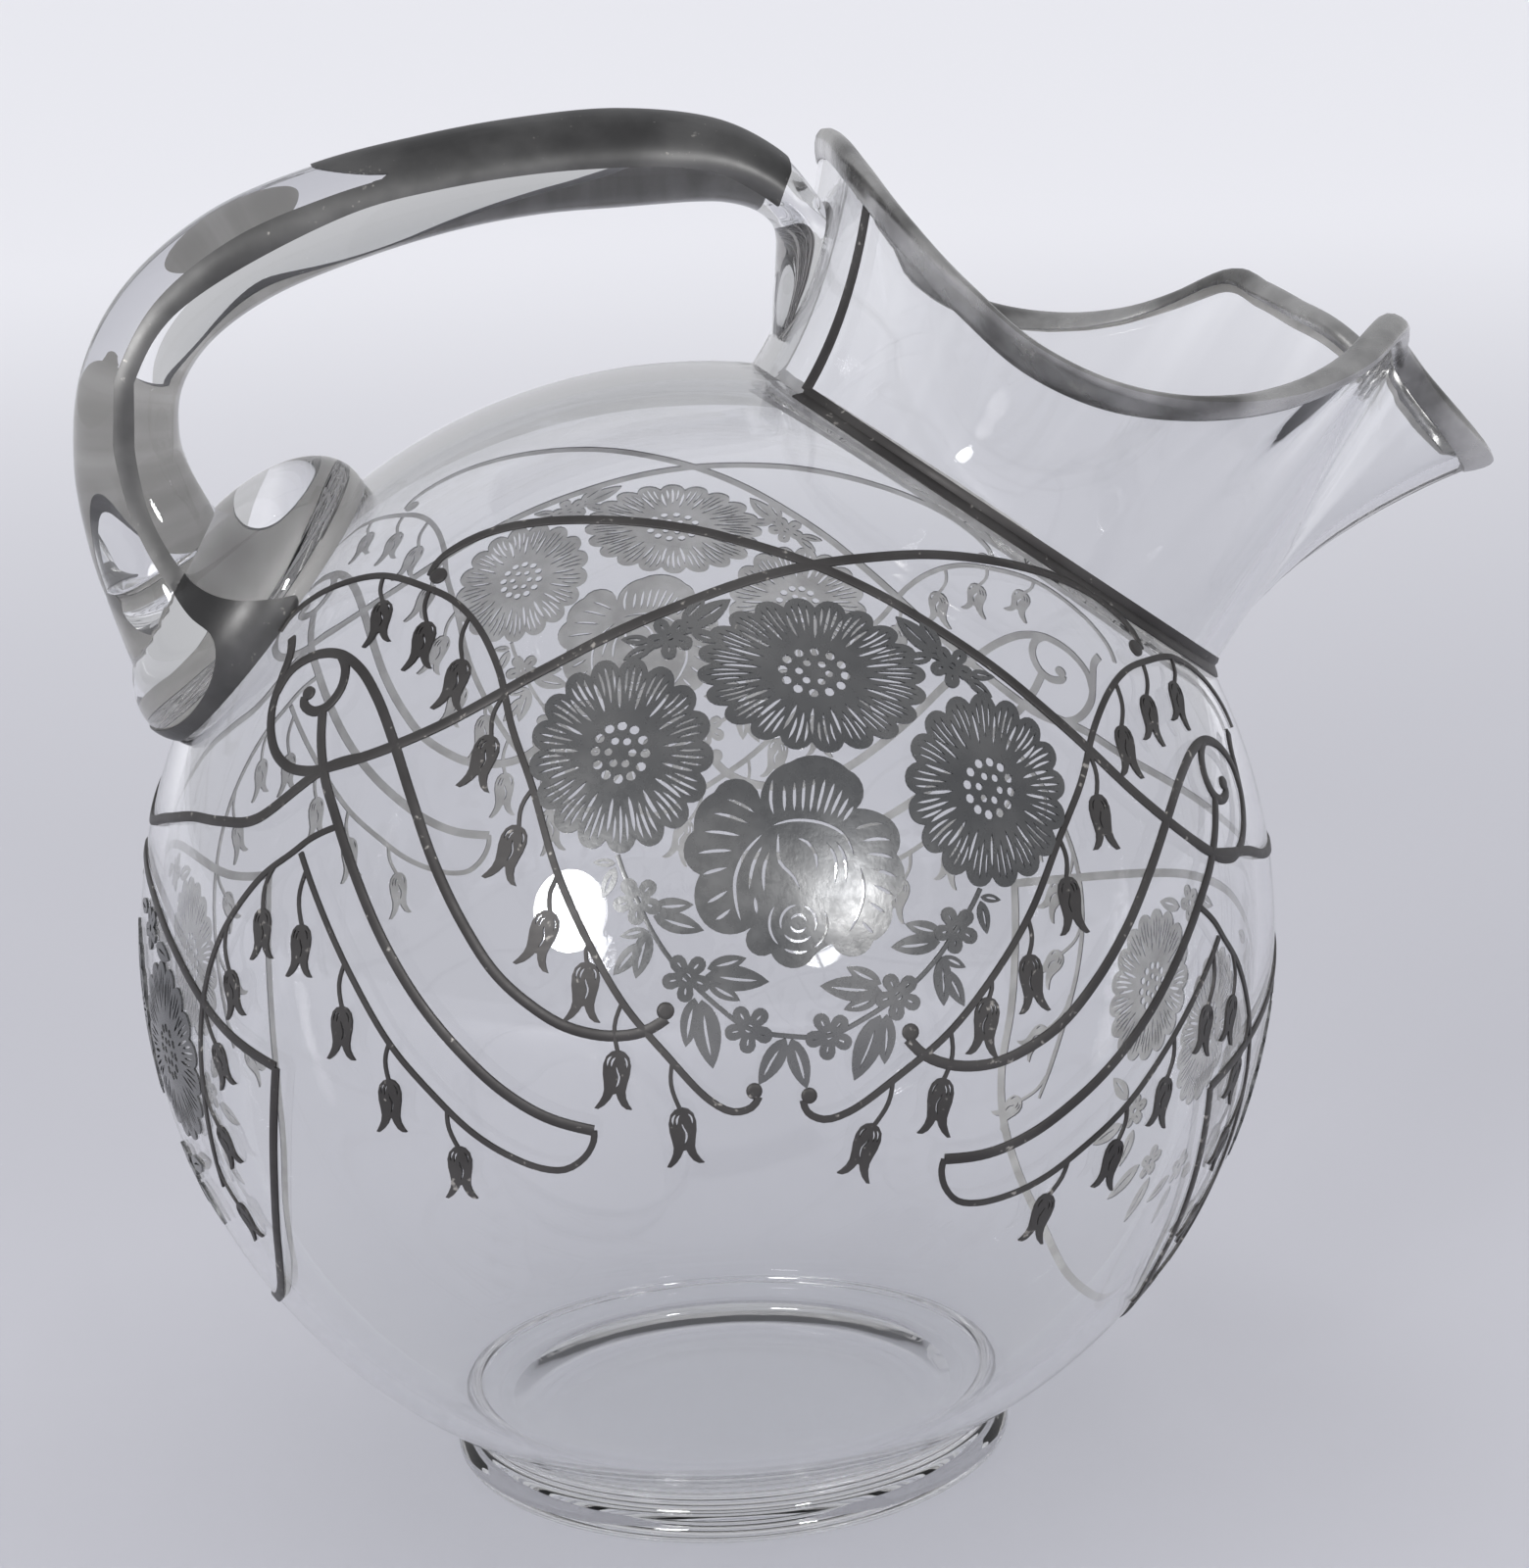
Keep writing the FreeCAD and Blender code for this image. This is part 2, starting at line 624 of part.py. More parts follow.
side_frame = panel_frame(panel_latitude, panel_longitude, panel_turn)
back_frame = (Vec(-1, 0, 0), Vec(0, -1, 0), Vec(0, 0, 1))
front_frame = (Vec(1, 0, 0), Vec(0, -1, 0), Vec(0, 0, 1))


def ray(frame, across, up):
    """Direction from the ball's centre to a place measured along its surface from the panel's middle."""
    out, east, north = frame
    turn = math.hypot(across, up) / ball_radius
    if turn == 0:
        return out
    heading = unit(east * across + north * up)
    return out * math.cos(turn) + heading * math.sin(turn)


def panel_rays(shares, flip=1, frame=side_frame):
    return [ray(frame, flip * across * panel_half_width, up * panel_half_width) for across, up in shares]


def wedge(spans):
    """Solid between two flat copies of an outline, one inside the ball and one outside it."""
    rays = [place for kind, places in spans for place in places]
    total = Vec(0, 0, 0)
    for place in rays:
        total = total + place
    middle = unit(total)
    lowest = min(place.dot(middle) for place in rays)
    wires = []
    for level in (ball_radius * lowest - overrun, ball_radius + overrun):
        edges = []
        for kind, places in spans:
            flat = [ball_centre + place * (level / place.dot(middle)) for place in places]
            edges.append(flat_edge(kind, flat))
        wires.append(Part.Wire(edges))
    return Part.makeLoft(wires, True, True)


def flat_edge(kind, flat):
    if kind == "arc":
        return Part.Arc(*flat).toShape()
    if kind == "line":
        return Part.makeLine(*flat)
    return spline(flat)


def ribbon(rays, width, beyond=()):
    """A line of even width along a row of rays; rays beyond its end only steer its direction there."""
    places = [place * ball_radius for place in rays]
    curve = Part.BSplineCurve()
    curve.interpolate(places + [place * ball_radius for place in beyond])
    left = []
    right = []
    for place in places:
        along = curve.tangent(curve.parameter(place))[0]
        sideways = unit(place.cross(along)) * (width / 2)
        left.append(unit(place + sideways))
        right.append(unit(place - sideways))
    right.reverse()
    return wedge([
        ("spline", left), ("line", [left[-1], right[0]]), ("spline", right), ("line", [right[-1], left[0]]),
    ])


def ball_end(place):
    low = ball_radius - overrun
    high = ball_radius + overrun
    share = ball_end_radius / ball_radius
    return Part.makeCone(low * share, high * share, high - low, ball_centre + place * low, place)


def local_rays(frame, across, up, turn, points):
    """Rays of a small outline placed on a panel and turned by an angle."""
    rays = []
    for x, y in points:
        east = across + x * math.cos(turn) - y * math.sin(turn)
        north = up + x * math.sin(turn) + y * math.cos(turn)
        rays.append(ray(frame, east, north))
    return rays


def petal_ring(frame, across, up, half_width, half_height, petals, notch, turn=0.0):
    """Flower outline: one arc for each petal, from notch to notch over its tip."""
    spans = []
    for petal in range(petals):
        points = []
        for part, reach in ((0, notch), (1, 1), (2, notch)):
            angle = 2 * math.pi * (petal + part / 2) / petals
            points.append((half_width * reach * math.cos(angle), half_height * reach * math.sin(angle)))
        spans.append(("arc", local_rays(frame, across, up, turn, points)))
    return wedge(spans)


def leaf(frame, row):
    """Pointed leaf from base to tip, two arcs."""
    base_x, base_y, tip_x, tip_y = [share * panel_half_width for share in row]
    length = math.hypot(tip_x - base_x, tip_y - base_y)
    half = leaf_half_width_share * length
    turn = math.atan2(tip_y - base_y, tip_x - base_x)
    points = [(0, 0), (length / 2, half), (length, 0), (length / 2, -half)]
    base, left, tip, right = local_rays(frame, base_x, base_y, turn, points)
    return wedge([("arc", [base, left, tip]), ("arc", [tip, right, base])])


def bell_cup(row):
    """Bellflower cup with three flared tips."""
    top_x, top_y, low_x, low_y = [share * panel_half_width for share in row[2:]]
    turn = math.atan2(low_y - top_y, low_x - top_x) + math.pi / 2
    sides = [(x * bell_half_width, -y * bell_height) for x, y in bell_side_shares]
    notch = (bell_notch_share[0] * bell_half_width, -bell_notch_share[1] * bell_height)
    tip = (0, -bell_height)
    far_sides = [(-x, y) for x, y in reversed(sides)]
    mouth = [sides[-1], notch, tip, (-notch[0], notch[1]), far_sides[0]]
    outline = [("spline", sides)]
    outline += [("line", pair) for pair in zip(mouth[:-1], mouth[1:])]
    outline += [("spline", far_sides), ("line", [far_sides[-1], sides[0]])]
    return wedge([(kind, local_rays(side_frame, top_x, top_y, turn, points)) for kind, points in outline])


def bell_stalk(row):
    """Thin stalk from the stem to just inside the cup."""
    stem_x, stem_y, top_x, top_y = [share * panel_half_width for share in row[:4]]
    rays = [ray(side_frame, stem_x, stem_y), ray(side_frame, top_x, top_y - stalk_width)]
    return ribbon(rays, stalk_width)


def silver_layer():
    high = Part.makeSphere(ball_radius + silver_seat + silver_thickness, ball_centre)
    return high.cut(Part.makeSphere(ball_radius + silver_seat, ball_centre))


silver_shell = silver_layer()


def plated(wedges, taken):
    """The silver layer: the part of the wedges just above the glass that no other piece has taken."""
    layer = wedges.common(silver_shell)
    if taken:
        layer = layer.cut(taken)
    return Part.Compound(layer.Solids)


# Groups of one side panel, on the spout half; the other half is their mirror image
def other_half(shape):
    return shape.mirror(ball_centre, side_frame[1])


def whole_panel(half):
    return Part.Compound(half.Solids + other_half(half).Solids)


def crossing_arcs():
    half = ribbon(panel_rays(arc_shares), strap_width).fuse(ball_end(panel_rays([arc_ball_share])[0]))
    return half.fuse(other_half(half))


def scroll_straps():
    lines = [loop_shares, inner_strap_shares, spiral_shares, outer_strap_shares]
    half = [ribbon(panel_rays(shares), strap_width) for shares in lines]
    half += [ball_end(place) for place in panel_rays([inner_strap_ball_share, spiral_ball_share])]
    return fused(half)


def flower_stems():
    lines = [spray_shares, return_stem_shares, fall_stem_shares]
    half = [ribbon(panel_rays(shares), stem_width) for shares in lines]
    half.append(ball_end(panel_rays([spray_ball_share])[0]))
    return fused(half)


def bellflowers(lines):
    """Cups on stalks, each stalk trimmed at the lines that it leaves or crosses."""
    stalks = Part.Compound([bell_stalk(row) for row in bell_shares]).cut(lines)
    return fused([bell_cup(row) for row in bell_shares] + stalks.Solids)


def daisy(frame, place_share, half_width, half_height):
    across, up = [share * panel_half_width for share in place_share]
    return petal_ring(frame, across, up, half_width, half_height, daisy_petals, daisy_notch_share)


def centre_bloom():
    points = [(x * bloom_half_width, y * bloom_half_height) for x, y in bloom_shares]
    across, up = [share * panel_half_width for share in bloom_share]
    rays = local_rays(side_frame, across, up, 0, points)
    rays.append(rays[0])
    return wedge([("arc", rays[start:start + 3]) for start in range(0, len(points), 2)])


def floret(frame, place_share):
    across, up = [share * panel_half_width for share in place_share]
    return petal_ring(
        frame, across, up, floret_radius, floret_radius, floret_petals, floret_notch_share, math.pi / 2)


def garland():
    half = [floret(side_frame, share) for share in floret_shares]
    half += [leaf(side_frame, row) for row in leaf_shares]
    half += [ribbon(panel_rays(shares), stalk_width) for shares in (wreath_stem_shares, top_stem_shares)]
    return fused(half)


# Groups of an end panel, on the near half; the other half is its mirror image
def half_line(rays):
    """A line that ends square to the middle plane, where it meets its mirror image."""
    return ribbon(rays, strap_width, [Vec(place.x, -place.y, place.z) for place in reversed(rays[:-1])])


def end_frame(frame, link, top, side, flip):
    """The line that carries a crossing arc on to the end panel's middle, and the frame's outline."""
    rows = [panel_rays(arc_shares[-2:], -flip) + panel_rays(link, 1, frame)]
    rows += [panel_rays(shares, 1, frame) for shares in (top, side)]
    return fused([half_line(rays) for rays in rows])


def end_flowers(frame, drop):
    """A daisy on each side of the middle one, with florets and leaves above and below them."""
    half = [floret(frame, (across, up - drop)) for across, up in end_floret_shares]
    half += [leaf(frame, (a, b - drop, c, d - drop)) for a, b, c, d in end_leaf_shares]
    across, up = end_daisy_share
    half.append(daisy(frame, (across, up - drop), end_daisy_half_width, end_daisy_half_height))
    middle = daisy(frame, (0, up - drop), end_daisy_half_width, end_daisy_half_height)
    middle = middle.fuse(floret(frame, (0, end_middle_floret_share - drop)))
    return fused(half), middle


def mouth_zone():
    """The part of the ball inside the collar band, which carries no overlay."""
    start = ball_centre + neck_axis * (ball_radius / 2)
    return Part.makeCylinder(collar_radius + collar_band_width / 2, ball_radius, start, neck_axis)


def both_sides(half):
    return Part.Compound(half.Solids + mirrored(half).Solids)


def save_panel(name, piece):
    save(name + "_right", piece)
    save(name + "_left", mirrored(piece))


os.makedirs("parts", exist_ok=True)
body = glass_body()
save("glass_body", body)
save("glass_foot", glass_foot())
save("glass_handle", glass_handle(body))
save("rim_band", rim_band())
save("collar_band", collar_band())
save("neck_line_left", neck_line(1))
save("neck_line_right", neck_line(-1))
save("handle_strap", handle_strap(body))

# Each group gives way to the ones before it, so that the silver is one layer thick everywhere
arcs = crossing_arcs()
scrolls = scroll_straps()
stems = flower_stems()
grip = handle_blank(silver_thickness + 2 * silver_seat)
save_panel("crossing_arcs", plated(arcs, [mouth_zone()]))
save_panel("scroll_straps", whole_panel(plated(scrolls, [arcs])))
save_panel("flower_stems", whole_panel(plated(stems, [arcs, scrolls])).cut(grip))
save_panel("bellflowers", whole_panel(plated(bellflowers([stems, scrolls]), [])))

top_flower = daisy(side_frame, top_daisy_share, top_daisy_half_width, top_daisy_half_height)
side_flower = daisy(side_frame, side_daisy_share, side_daisy_half_width, side_daisy_half_height)
bloom = centre_bloom()
side_flowers = whole_panel(plated(side_flower, [arcs, stems, top_flower]))
save_panel("daisies", Part.Compound(plated(top_flower, [arcs]).Solids + side_flowers.Solids))
save_panel("centre_bloom", plated(bloom, [top_flower, side_flower, other_half(side_flower)]))
wreath = plated(garland(), [top_flower, side_flower, bloom, other_half(bloom)])
save_panel("garland", whole_panel(wreath))

ends = [
    ("back_panel", back_frame, link_back_shares, frame_top_back_shares, frame_side_back_shares, 1, 0),
    ("front_panel", front_frame, link_front_shares, frame_top_front_shares, frame_side_front_shares, -1,
     front_flower_drop_share),
]
for name, frame, link, top, side, flip, drop in ends:
    scroll_side = scrolls if flip < 0 else other_half(scrolls)
    save(name + "_frame", both_sides(plated(end_frame(frame, link, top, side, flip), [arcs, scroll_side])))
    half, middle = end_flowers(frame, drop)
    flowers = both_sides(plated(half, []))
    save(name + "_flowers", Part.Compound(flowers.Solids + plated(middle, []).Solids))
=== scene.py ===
import math

import bmesh
import bpy
from mathutils import Matrix, Vector
from mathutils.geometry import delaunay_2d_cdt


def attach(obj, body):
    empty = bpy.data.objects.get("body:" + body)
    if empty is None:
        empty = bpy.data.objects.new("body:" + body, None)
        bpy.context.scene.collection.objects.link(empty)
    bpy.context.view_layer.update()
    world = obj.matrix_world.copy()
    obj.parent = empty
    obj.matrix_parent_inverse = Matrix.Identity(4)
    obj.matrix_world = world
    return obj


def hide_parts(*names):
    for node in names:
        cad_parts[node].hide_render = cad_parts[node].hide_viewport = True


# Looks of the ball-shaped glass jug with its silver overlay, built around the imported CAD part.
# Sizes are in millimetres until a mesh is made; +Z is up, +X points to the spout.
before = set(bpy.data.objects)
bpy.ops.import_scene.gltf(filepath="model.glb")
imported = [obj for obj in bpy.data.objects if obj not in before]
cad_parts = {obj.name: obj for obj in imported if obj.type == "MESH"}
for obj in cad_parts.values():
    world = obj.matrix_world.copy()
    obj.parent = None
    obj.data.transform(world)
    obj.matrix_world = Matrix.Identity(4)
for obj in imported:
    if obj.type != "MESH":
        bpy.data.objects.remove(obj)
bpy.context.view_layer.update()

MM = 0.001

# Glass
BALL = 95.0
BALL_HEIGHT = 92.2
WALL = 3.0
COLLAR = 46.0
NECK_HEIGHT = 60.0
NECK_TILT = math.radians(36.5)
NECK_FLARE = 1.8
NECK_SEAT_LEVEL = 0.6
HANDLE_HALF_WIDTH = 9.7
PAD_ANGLE = math.radians(40.6)
PAD_HALF_SIZES = (26.6, 26.0, 14.0)

# Fineness of the meshes: columns and rows of a shape, parts of a span, steps along lines and between sheet points
BODY_COLUMNS = 168
OUTSIDE_ROWS = 64
INSIDE_ROWS = 60
PAD_FINENESS = (120, 64)
SEAT_FINENESS = (144, 96)
HANDLE_COLUMNS = 60
HANDLE_PARTS = 10
NECK_LEVELS = [0.03, 0.08, 0.14, 0.2, 0.27, 0.34, 0.41, 0.48, 0.55, 0.62, 0.69, 0.76, 0.83, 0.89, 0.95, 1.0]
RIM_COLUMNS = 240
KNOB_COLUMNS = 16
PETAL_PARTS = 8
LEAF_PARTS = 8
ARC_PARTS = 7
ROSE_PARTS = 6
STRAP_STEP = 1.5
LINE_STEP = 1.3
CUT_STEP = 1.2
SHEET_STEP = 3.0
CREASE = 40
GLASS_CREASE = 60

# Half sections of the foot and of the floor inside, radius and height, up to where the ball's curve starts
FOOT = [
    (0.0, 1.2), (10.0, 1.18), (20.0, 1.1), (27.0, 0.9), (32.0, 0.65), (36.0, 0.36), (38.8, 0.12), (40.8, 0.0),
    (43.5, 0.0), (45.4, 0.15), (46.7, 0.65), (47.6, 1.4), (48.1, 2.3), (48.1, 3.2), (47.6, 4.1), (46.8, 4.7),
    (46.0, 5.2), (45.6, 6.0), (45.5, 7.0), (45.7, 8.0), (46.2, 8.9), (47.1, 9.75),
]
FOOT_TOP = 10.3
FLOOR = [(0.0, 9.4), (10.0, 9.4), (20.0, 9.4), (28.0, 9.45), (33.0, 9.7), (37.0, 10.3), (40.5, 11.4)]
FLOOR_TOP = 13.2

# Rim of the neck: angle from the spout, height as a share of the neck height, radius as a share of the collar's
RIM = [
    (0, 0.908, 1.489), (8, 0.93, 1.37), (13, 0.975, 1.11), (20, 1, 0.978), (36, 1.008, 0.957), (48, 1.01, 1.03),
    (57.5, 0.997, 1.12), (65, 0.87, 1.22), (74, 0.72, 1.292), (86, 0.563, 1.345), (98, 0.457, 1.35),
    (111, 0.417, 1.345), (126, 0.45, 1.32), (143, 0.515, 1.285), (161, 0.582, 1.245), (180, 0.625, 1.226),
]
# The far side of the handmade rim sags less: heights there instead
RIM_FAR = {86.0: 0.580, 98.0: 0.504, 111.0: 0.492, 126.0: 0.555, 143.0: 0.605, 161.0: 0.618}

# Handle stations: inner edge, outer edge and half width, as shares in the frame between its two seats
HANDLE = [
    (0.13, -0.098, 0.115, -0.112, 0.41), (0.097, -0.05, 0.066, -0.082, 0.77), (0.065, -0.005, 0.018, -0.052, 0.93),
    (0.042, 0.037, -0.033, 0, 0.99), (0.051, 0.074, -0.036, 0.063, 1), (0.08, 0.108, -0.02, 0.139, 1.01),
    (0.124, 0.138, 0.037, 0.226, 1.01), (0.217, 0.188, 0.148, 0.312, 1.01), (0.332, 0.248, 0.279, 0.379, 1),
    (0.453, 0.296, 0.417, 0.435, 0.99), (0.591, 0.334, 0.569, 0.484, 0.99), (0.72, 0.357, 0.734, 0.511, 0.99),
    (0.828, 0.353, 0.895, 0.489, 0.99), (0.905, 0.322, 1.021, 0.419, 0.99), (0.95, 0.268, 1.108, 0.309, 1),
    (0.968, 0.21, 1.159, 0.194, 1.08), (0.972, 0.133, 1.184, 0.103, 1.28), (0.972, 0.048, 1.205, 0.009, 1.55),
    (0.977, -0.055, 1.22, -0.083, 1.75),
]

# Silver: how far it stands out from the glass and how far it is let into it; sheets that overlap differ in height
SILVER_HIGH = 0.36
SILVER_LOW = -0.07
BLOOM_HIGH = 0.3
SIDE_DAISY_HIGH = 0.33
LEAF_HIGH = 0.33
FLORET_HIGH = 0.39

# Section of the rim band: drop below the rim and depth from the outer face, where it shows and where it meets the glass
RIM_SHOWN = [
    (3.6, -0.15), (3.4, -0.45), (2.4, -0.85), (1.2, -1.05), (0.2, -0.95), (-0.6, -0.5), (-1.1, 0.4), (-1.25, 1.5),
    (-1.1, 2.6), (-0.6, 3.5), (0.2, 3.95), (0.9, 4.0), (1.7, 3.85), (2.4, 3.5), (2.6, 3.15),
]
RIM_HIDDEN = [
    (2.5, WALL + SILVER_LOW), (-SILVER_LOW, WALL + SILVER_LOW), (-SILVER_LOW, -SILVER_LOW), (3.5, -SILVER_LOW),
]
# Sections of the other bands and lines: place across and height over the glass
COLLAR_SECTION = [
    (-1.9, SILVER_LOW), (-1.9, 0.2), (-1.2, 0.42), (0.0, 0.6), (1.2, 0.42), (1.9, 0.2), (1.9, SILVER_LOW),
    (0.0, SILVER_LOW),
]
NECK_LINE_SECTION = [(-1.4, SILVER_LOW), (-1.4, 0.2), (-0.9, 0.36), (0.9, 0.36), (1.4, 0.2), (1.4, SILVER_LOW)]
NECK_LINE_ANGLE = 153.5
NECK_LINE_GAPS = (1.0, 3.6)
# The same for the lines and their end knobs on the ball, across as a share of half the width
RIBBON_SECTION = [
    (-1, SILVER_LOW), (-1, 0.26), (-0.88, 0.34), (0, 0.36), (0.88, 0.34), (1, 0.26), (1, SILVER_LOW),
]
KNOB_SECTION = [(1.0, SILVER_LOW), (1.0, 0.25), (0.88, 0.38), (0.5, 0.42)]

# Side view of the silver on the handle: station and place across it, from -1 inside to 1 outside
SADDLE_FRONT = [(4.6, 0.75), (4.45, 0.2), (4.1, -0.4)]
SADDLE_SIDE = [
    (4.1, -0.4), (4.9, -0.35), (6, -0.16), (7.5, -0.06), (9, -0.02), (10, -0.02), (12, -0.03), (13, -0.03),
]
STRIP_BACK = [(13, 0.34), (12, 0.38), (11, 0.39), (10, 0.41), (9.2, 0.44)]
TONGUE = [(9.2, 0.44), (9.6, 0.62), (10.05, 1)]
# Strip and boot below that, down to the ball and back up, in X and Z
BOOT = [
    [(-88.8, 180.9), (-88.4, 176.0), (-87.3, 170.3), (-85.0, 164.7), (-82.5, 160.8), (-80.6, 159.5), (-77.6, 158.4),
     (-73.7, 157.9), (-70.5, 158.0), (-65.5, 158.3)],
    [(-65.5, 158.3), (-66.0, 152.5), (-68.0, 147.5), (-72.5, 140.5), (-79.0, 133.5), (-85.0, 129.0), (-91.0, 129.5)],
    [(-91.0, 134.0), (-86.0, 136.8), (-82.0, 141.5), (-79.5, 146.3), (-78.6, 150.7), (-79.2, 153.0), (-81.8, 154.9),
     (-84.0, 157.4), (-86.1, 160.5), (-89.2, 167.2), (-91.0, 173.7), (-92.0, 181.1)],
]
# Way back to the saddle's front, clear of the handle's outside
STRAP_CLEAR = 6
STRAP_RETURN = (10.05, 9, 8, 7, 6, 5.3)
STRAP_LAST = 4.6
STRAP_FRONT_CLEAR = 4

# Line work of one half panel: out from the middle line and up along the ball
ARC = [
    (62.4, 47.6), (61, 50.8), (57.4, 53.5), (52, 55.6), (44.5, 56.5), (31, 55.8), (19.5, 54), (10, 51.5), (0, 48.4),
    (-10, 44.4), (-20, 39.4), (-30, 34.1), (-40, 28.1), (-54.5, 19.8), (-63.5, 16.1), (-70, 14.2), (-76.3, 13),
]
SPRAY = [
    (94.5, 43.2), (92.3, 46.4), (87.3, 49.1), (80, 50.3), (72, 49.6), (63, 45.3), (57, 41.5), (52, 36), (47.6, 27.9),
    (44.6, 18.5), (40.5, 9), (35.7, -3.6), (30.5, -13.2), (24.3, -22.2), (17.5, -29), (10.4, -35.2), (6.8, -36.6),
    (4.2, -35.7), (3.3, -34),
]
LOOP = [
    (90.5, 40.5), (89.8, 36.8), (90.6, 32), (91.5, 26), (90.5, 20.5), (88.3, 16.5), (84.5, 13.6), (79.5, 12.6),
    (76.3, 13),
]
INNER_STRAP = [
    (91, 29), (88.5, 33), (83.5, 35), (77.8, 34.2), (72.8, 30.6), (68.3, 24.5), (64.2, 16.7), (60, 7.5),
    (54.8, -3.5), (49.5, -12.2), (43.9, -19.2), (38.2, -23.5), (32.6, -26.2), (26.1, -27), (21.1, -25.9),
    (18, -23.7),
]
SPIRAL = [(77.5, 34.2), (75.8, 31), (76, 27.2), (78.3, 24.2), (81.2, 23.6), (83.7, 25.4), (83.8, 26.8)]
OUTER_STRAP = [
    (79.2, 23.8), (78.3, 17), (76.4, 10.6), (73.7, 4.8), (69.5, -3.8), (62.5, -16), (55.6, -25), (48.6, -31.8),
    (41.7, -37), (34.7, -40.3), (27.1, -41.6),
]
RETURN_STEM = [
    (27.1, -41.6), (27, -43.3), (28.2, -46.1), (31, -48.4), (34.7, -48.7), (40.4, -47.2), (46.4, -44.2),
    (53.4, -38.7), (60.4, -32.2), (68, -22), (74, -12.5), (80, -1.5),
]
FALL_STEM = [
    (72.8, 2.9), (78, 1), (82, -1.5), (88, -5), (93.5, -10), (98.5, -16), (102, -22.5), (104.4, -29.5),
    (105.9, -37.7), (106.5, -46.8), (106.5, -57.7), (105.9, -69.5),
]
WREATH_STEM = [
    (27, -0.6), (25.5, -4), (23.6, -7), (21.6, -10.6), (18.7, -14.5), (15.6, -17.5), (10.9, -21.2), (5.9, -24.1),
    (0, -24.7),
]
TOP_STEM = [(17, 35.2), (21.7, 33.4), (26.2, 30)]
# Piece, line, width and shares of the width at its two ends
LINE_WIDTH = 1.6
LINES = [
    ("crossing_arcs", ARC, LINE_WIDTH, 0.6, 1), ("scroll_straps", LOOP, LINE_WIDTH, 1, 1),
    ("scroll_straps", INNER_STRAP, LINE_WIDTH, 1, 1), ("scroll_straps", SPIRAL, LINE_WIDTH, 1, 1),
    ("scroll_straps", OUTER_STRAP, LINE_WIDTH, 1, 1), ("flower_stems", SPRAY, 1.05, 1, 1),
    ("flower_stems", RETURN_STEM, 0.95, 1, 1), ("flower_stems", FALL_STEM, 0.95, 1, 0.5),
    ("garland", WREATH_STEM, 0.7, 1, 1), ("garland", TOP_STEM, 0.7, 1, 1),
]
# Piece, place and radius of the knobs that end lines
KNOBS = [
    ("crossing_arcs", 60.7, 47.2, 1.6), ("scroll_straps", 18.2, -22.6, 1.3), ("scroll_straps", 83.0, 27.4, 1.3),
    ("flower_stems", 4.1, -33.2, 1.2),
]

# Bellflowers: where the stalk leaves its stem, the top of the cup and its lower end
BELLS = [
    (71.8, 49.2, 70.5, 43.7, 70.3, 35.8), (61.7, 44.6, 61.1, 37.9, 61.8, 29.1), (53.6, 38.2, 53.8, 30.2, 55.5, 22.1),
    (46.3, 23.7, 47.6, 17.1, 49.6, 9.5), (40.3, 8.9, 42, 3.1, 44.3, -5), (35.6, -4.3, 36.2, -9.4, 38.2, -16.7),
    (30.2, -13.7, 30.1, -16.4, 30.3, -24.4), (24.6, -22, 24.5, -29, 24.5, -35.2),
    (16.5, -30, 14.5, -36.7, 13.2, -43.5), (78.6, -4.7, 78.6, -13.5, 78.9, -22),
    (69.7, -19.5, 69.8, -26.5, 69.8, -35), (60.9, -31.6, 60.7, -37.5, 60.1, -45.7),
    (50.5, -41.3, 48.2, -47, 47.5, -55.7), (85.5, -3.5, 87.7, -11, 87.5, -20.5), (96.8, -14, 95.8, -22.2, 94, -31.2),
    (103.6, -27, 100.5, -36.5, 97.2, -45.5), (106, -44, 102.3, -54, 97.2, -63),
    (106, -64, 100.9, -71.8, 95.9, -79.5),
]
# Cup of a bellflower and its cut lines, hanging down from the stalk
BELL_CUP = [
    (0.25, 0), (1, -0.25), (1.7, -1), (2.05, -2.2), (2, -3.6), (1.75, -4.9), (1.6, -6), (1.75, -7), (2.2, -8),
    (2.8, -9), (2.2, -9.1), (1.3, -8.4), (0.6, -7.5), (0.15, -6.6), (-0.25, -6.5), (-0.6, -7.3), (-1.2, -8.2),
    (-2, -8.7), (-2.8, -8.7), (-2.3, -8.1), (-1.8, -7.2), (-1.6, -6.2), (-1.75, -5), (-2, -3.6), (-2.05, -2.2),
    (-1.7, -1), (-1, -0.25), (-0.25, 0),
]
BELL_CUTS = [
    [(0.1, -2.3), (-0.1, -3.1), (-0.45, -3.9), (-0.4, -4.8), (-0.1, -5.6)],
    [(-1.45, -2.6), (-1.35, -1.5), (-0.8, -0.85)], [(0.85, -0.85), (1.35, -1.5), (1.45, -2.6)],
    [(0.3, -1), (0.75, -1.7), (0.85, -2.7)],
]
BELL_CUT_WIDTH = 0.32
STALK_WIDTH = 0.6
STALK_SWAY = 0.12
STALK_OVERLAP = 0.5

# Daisies: place, half sizes and petals
TOP_DAISY = (0.0, 29.3, 17.5, 12.5, 20)
SIDE_DAISY = (27.8, 14.7, 13.6, 15.1, 17)
DAISY_NOTCH = 0.88
DAISY_LEAN = 0.05
DAISY_LEAN_STEP = 2.4
# Cuts in each petal (place in it, start, stop and width) and rings of holes in the eye (count, reach and radius)
DAISY_CUTS = [(0.0, 0.45, 0.81, 0.56), (0.28, 0.6, 0.9, 0.4), (0.52, 0.52, 0.93, 0.44), (0.76, 0.62, 0.9, 0.4)]
DAISY_HOLES = [(12, 0.27, 0.74), (6, 0.13, 0.62)]

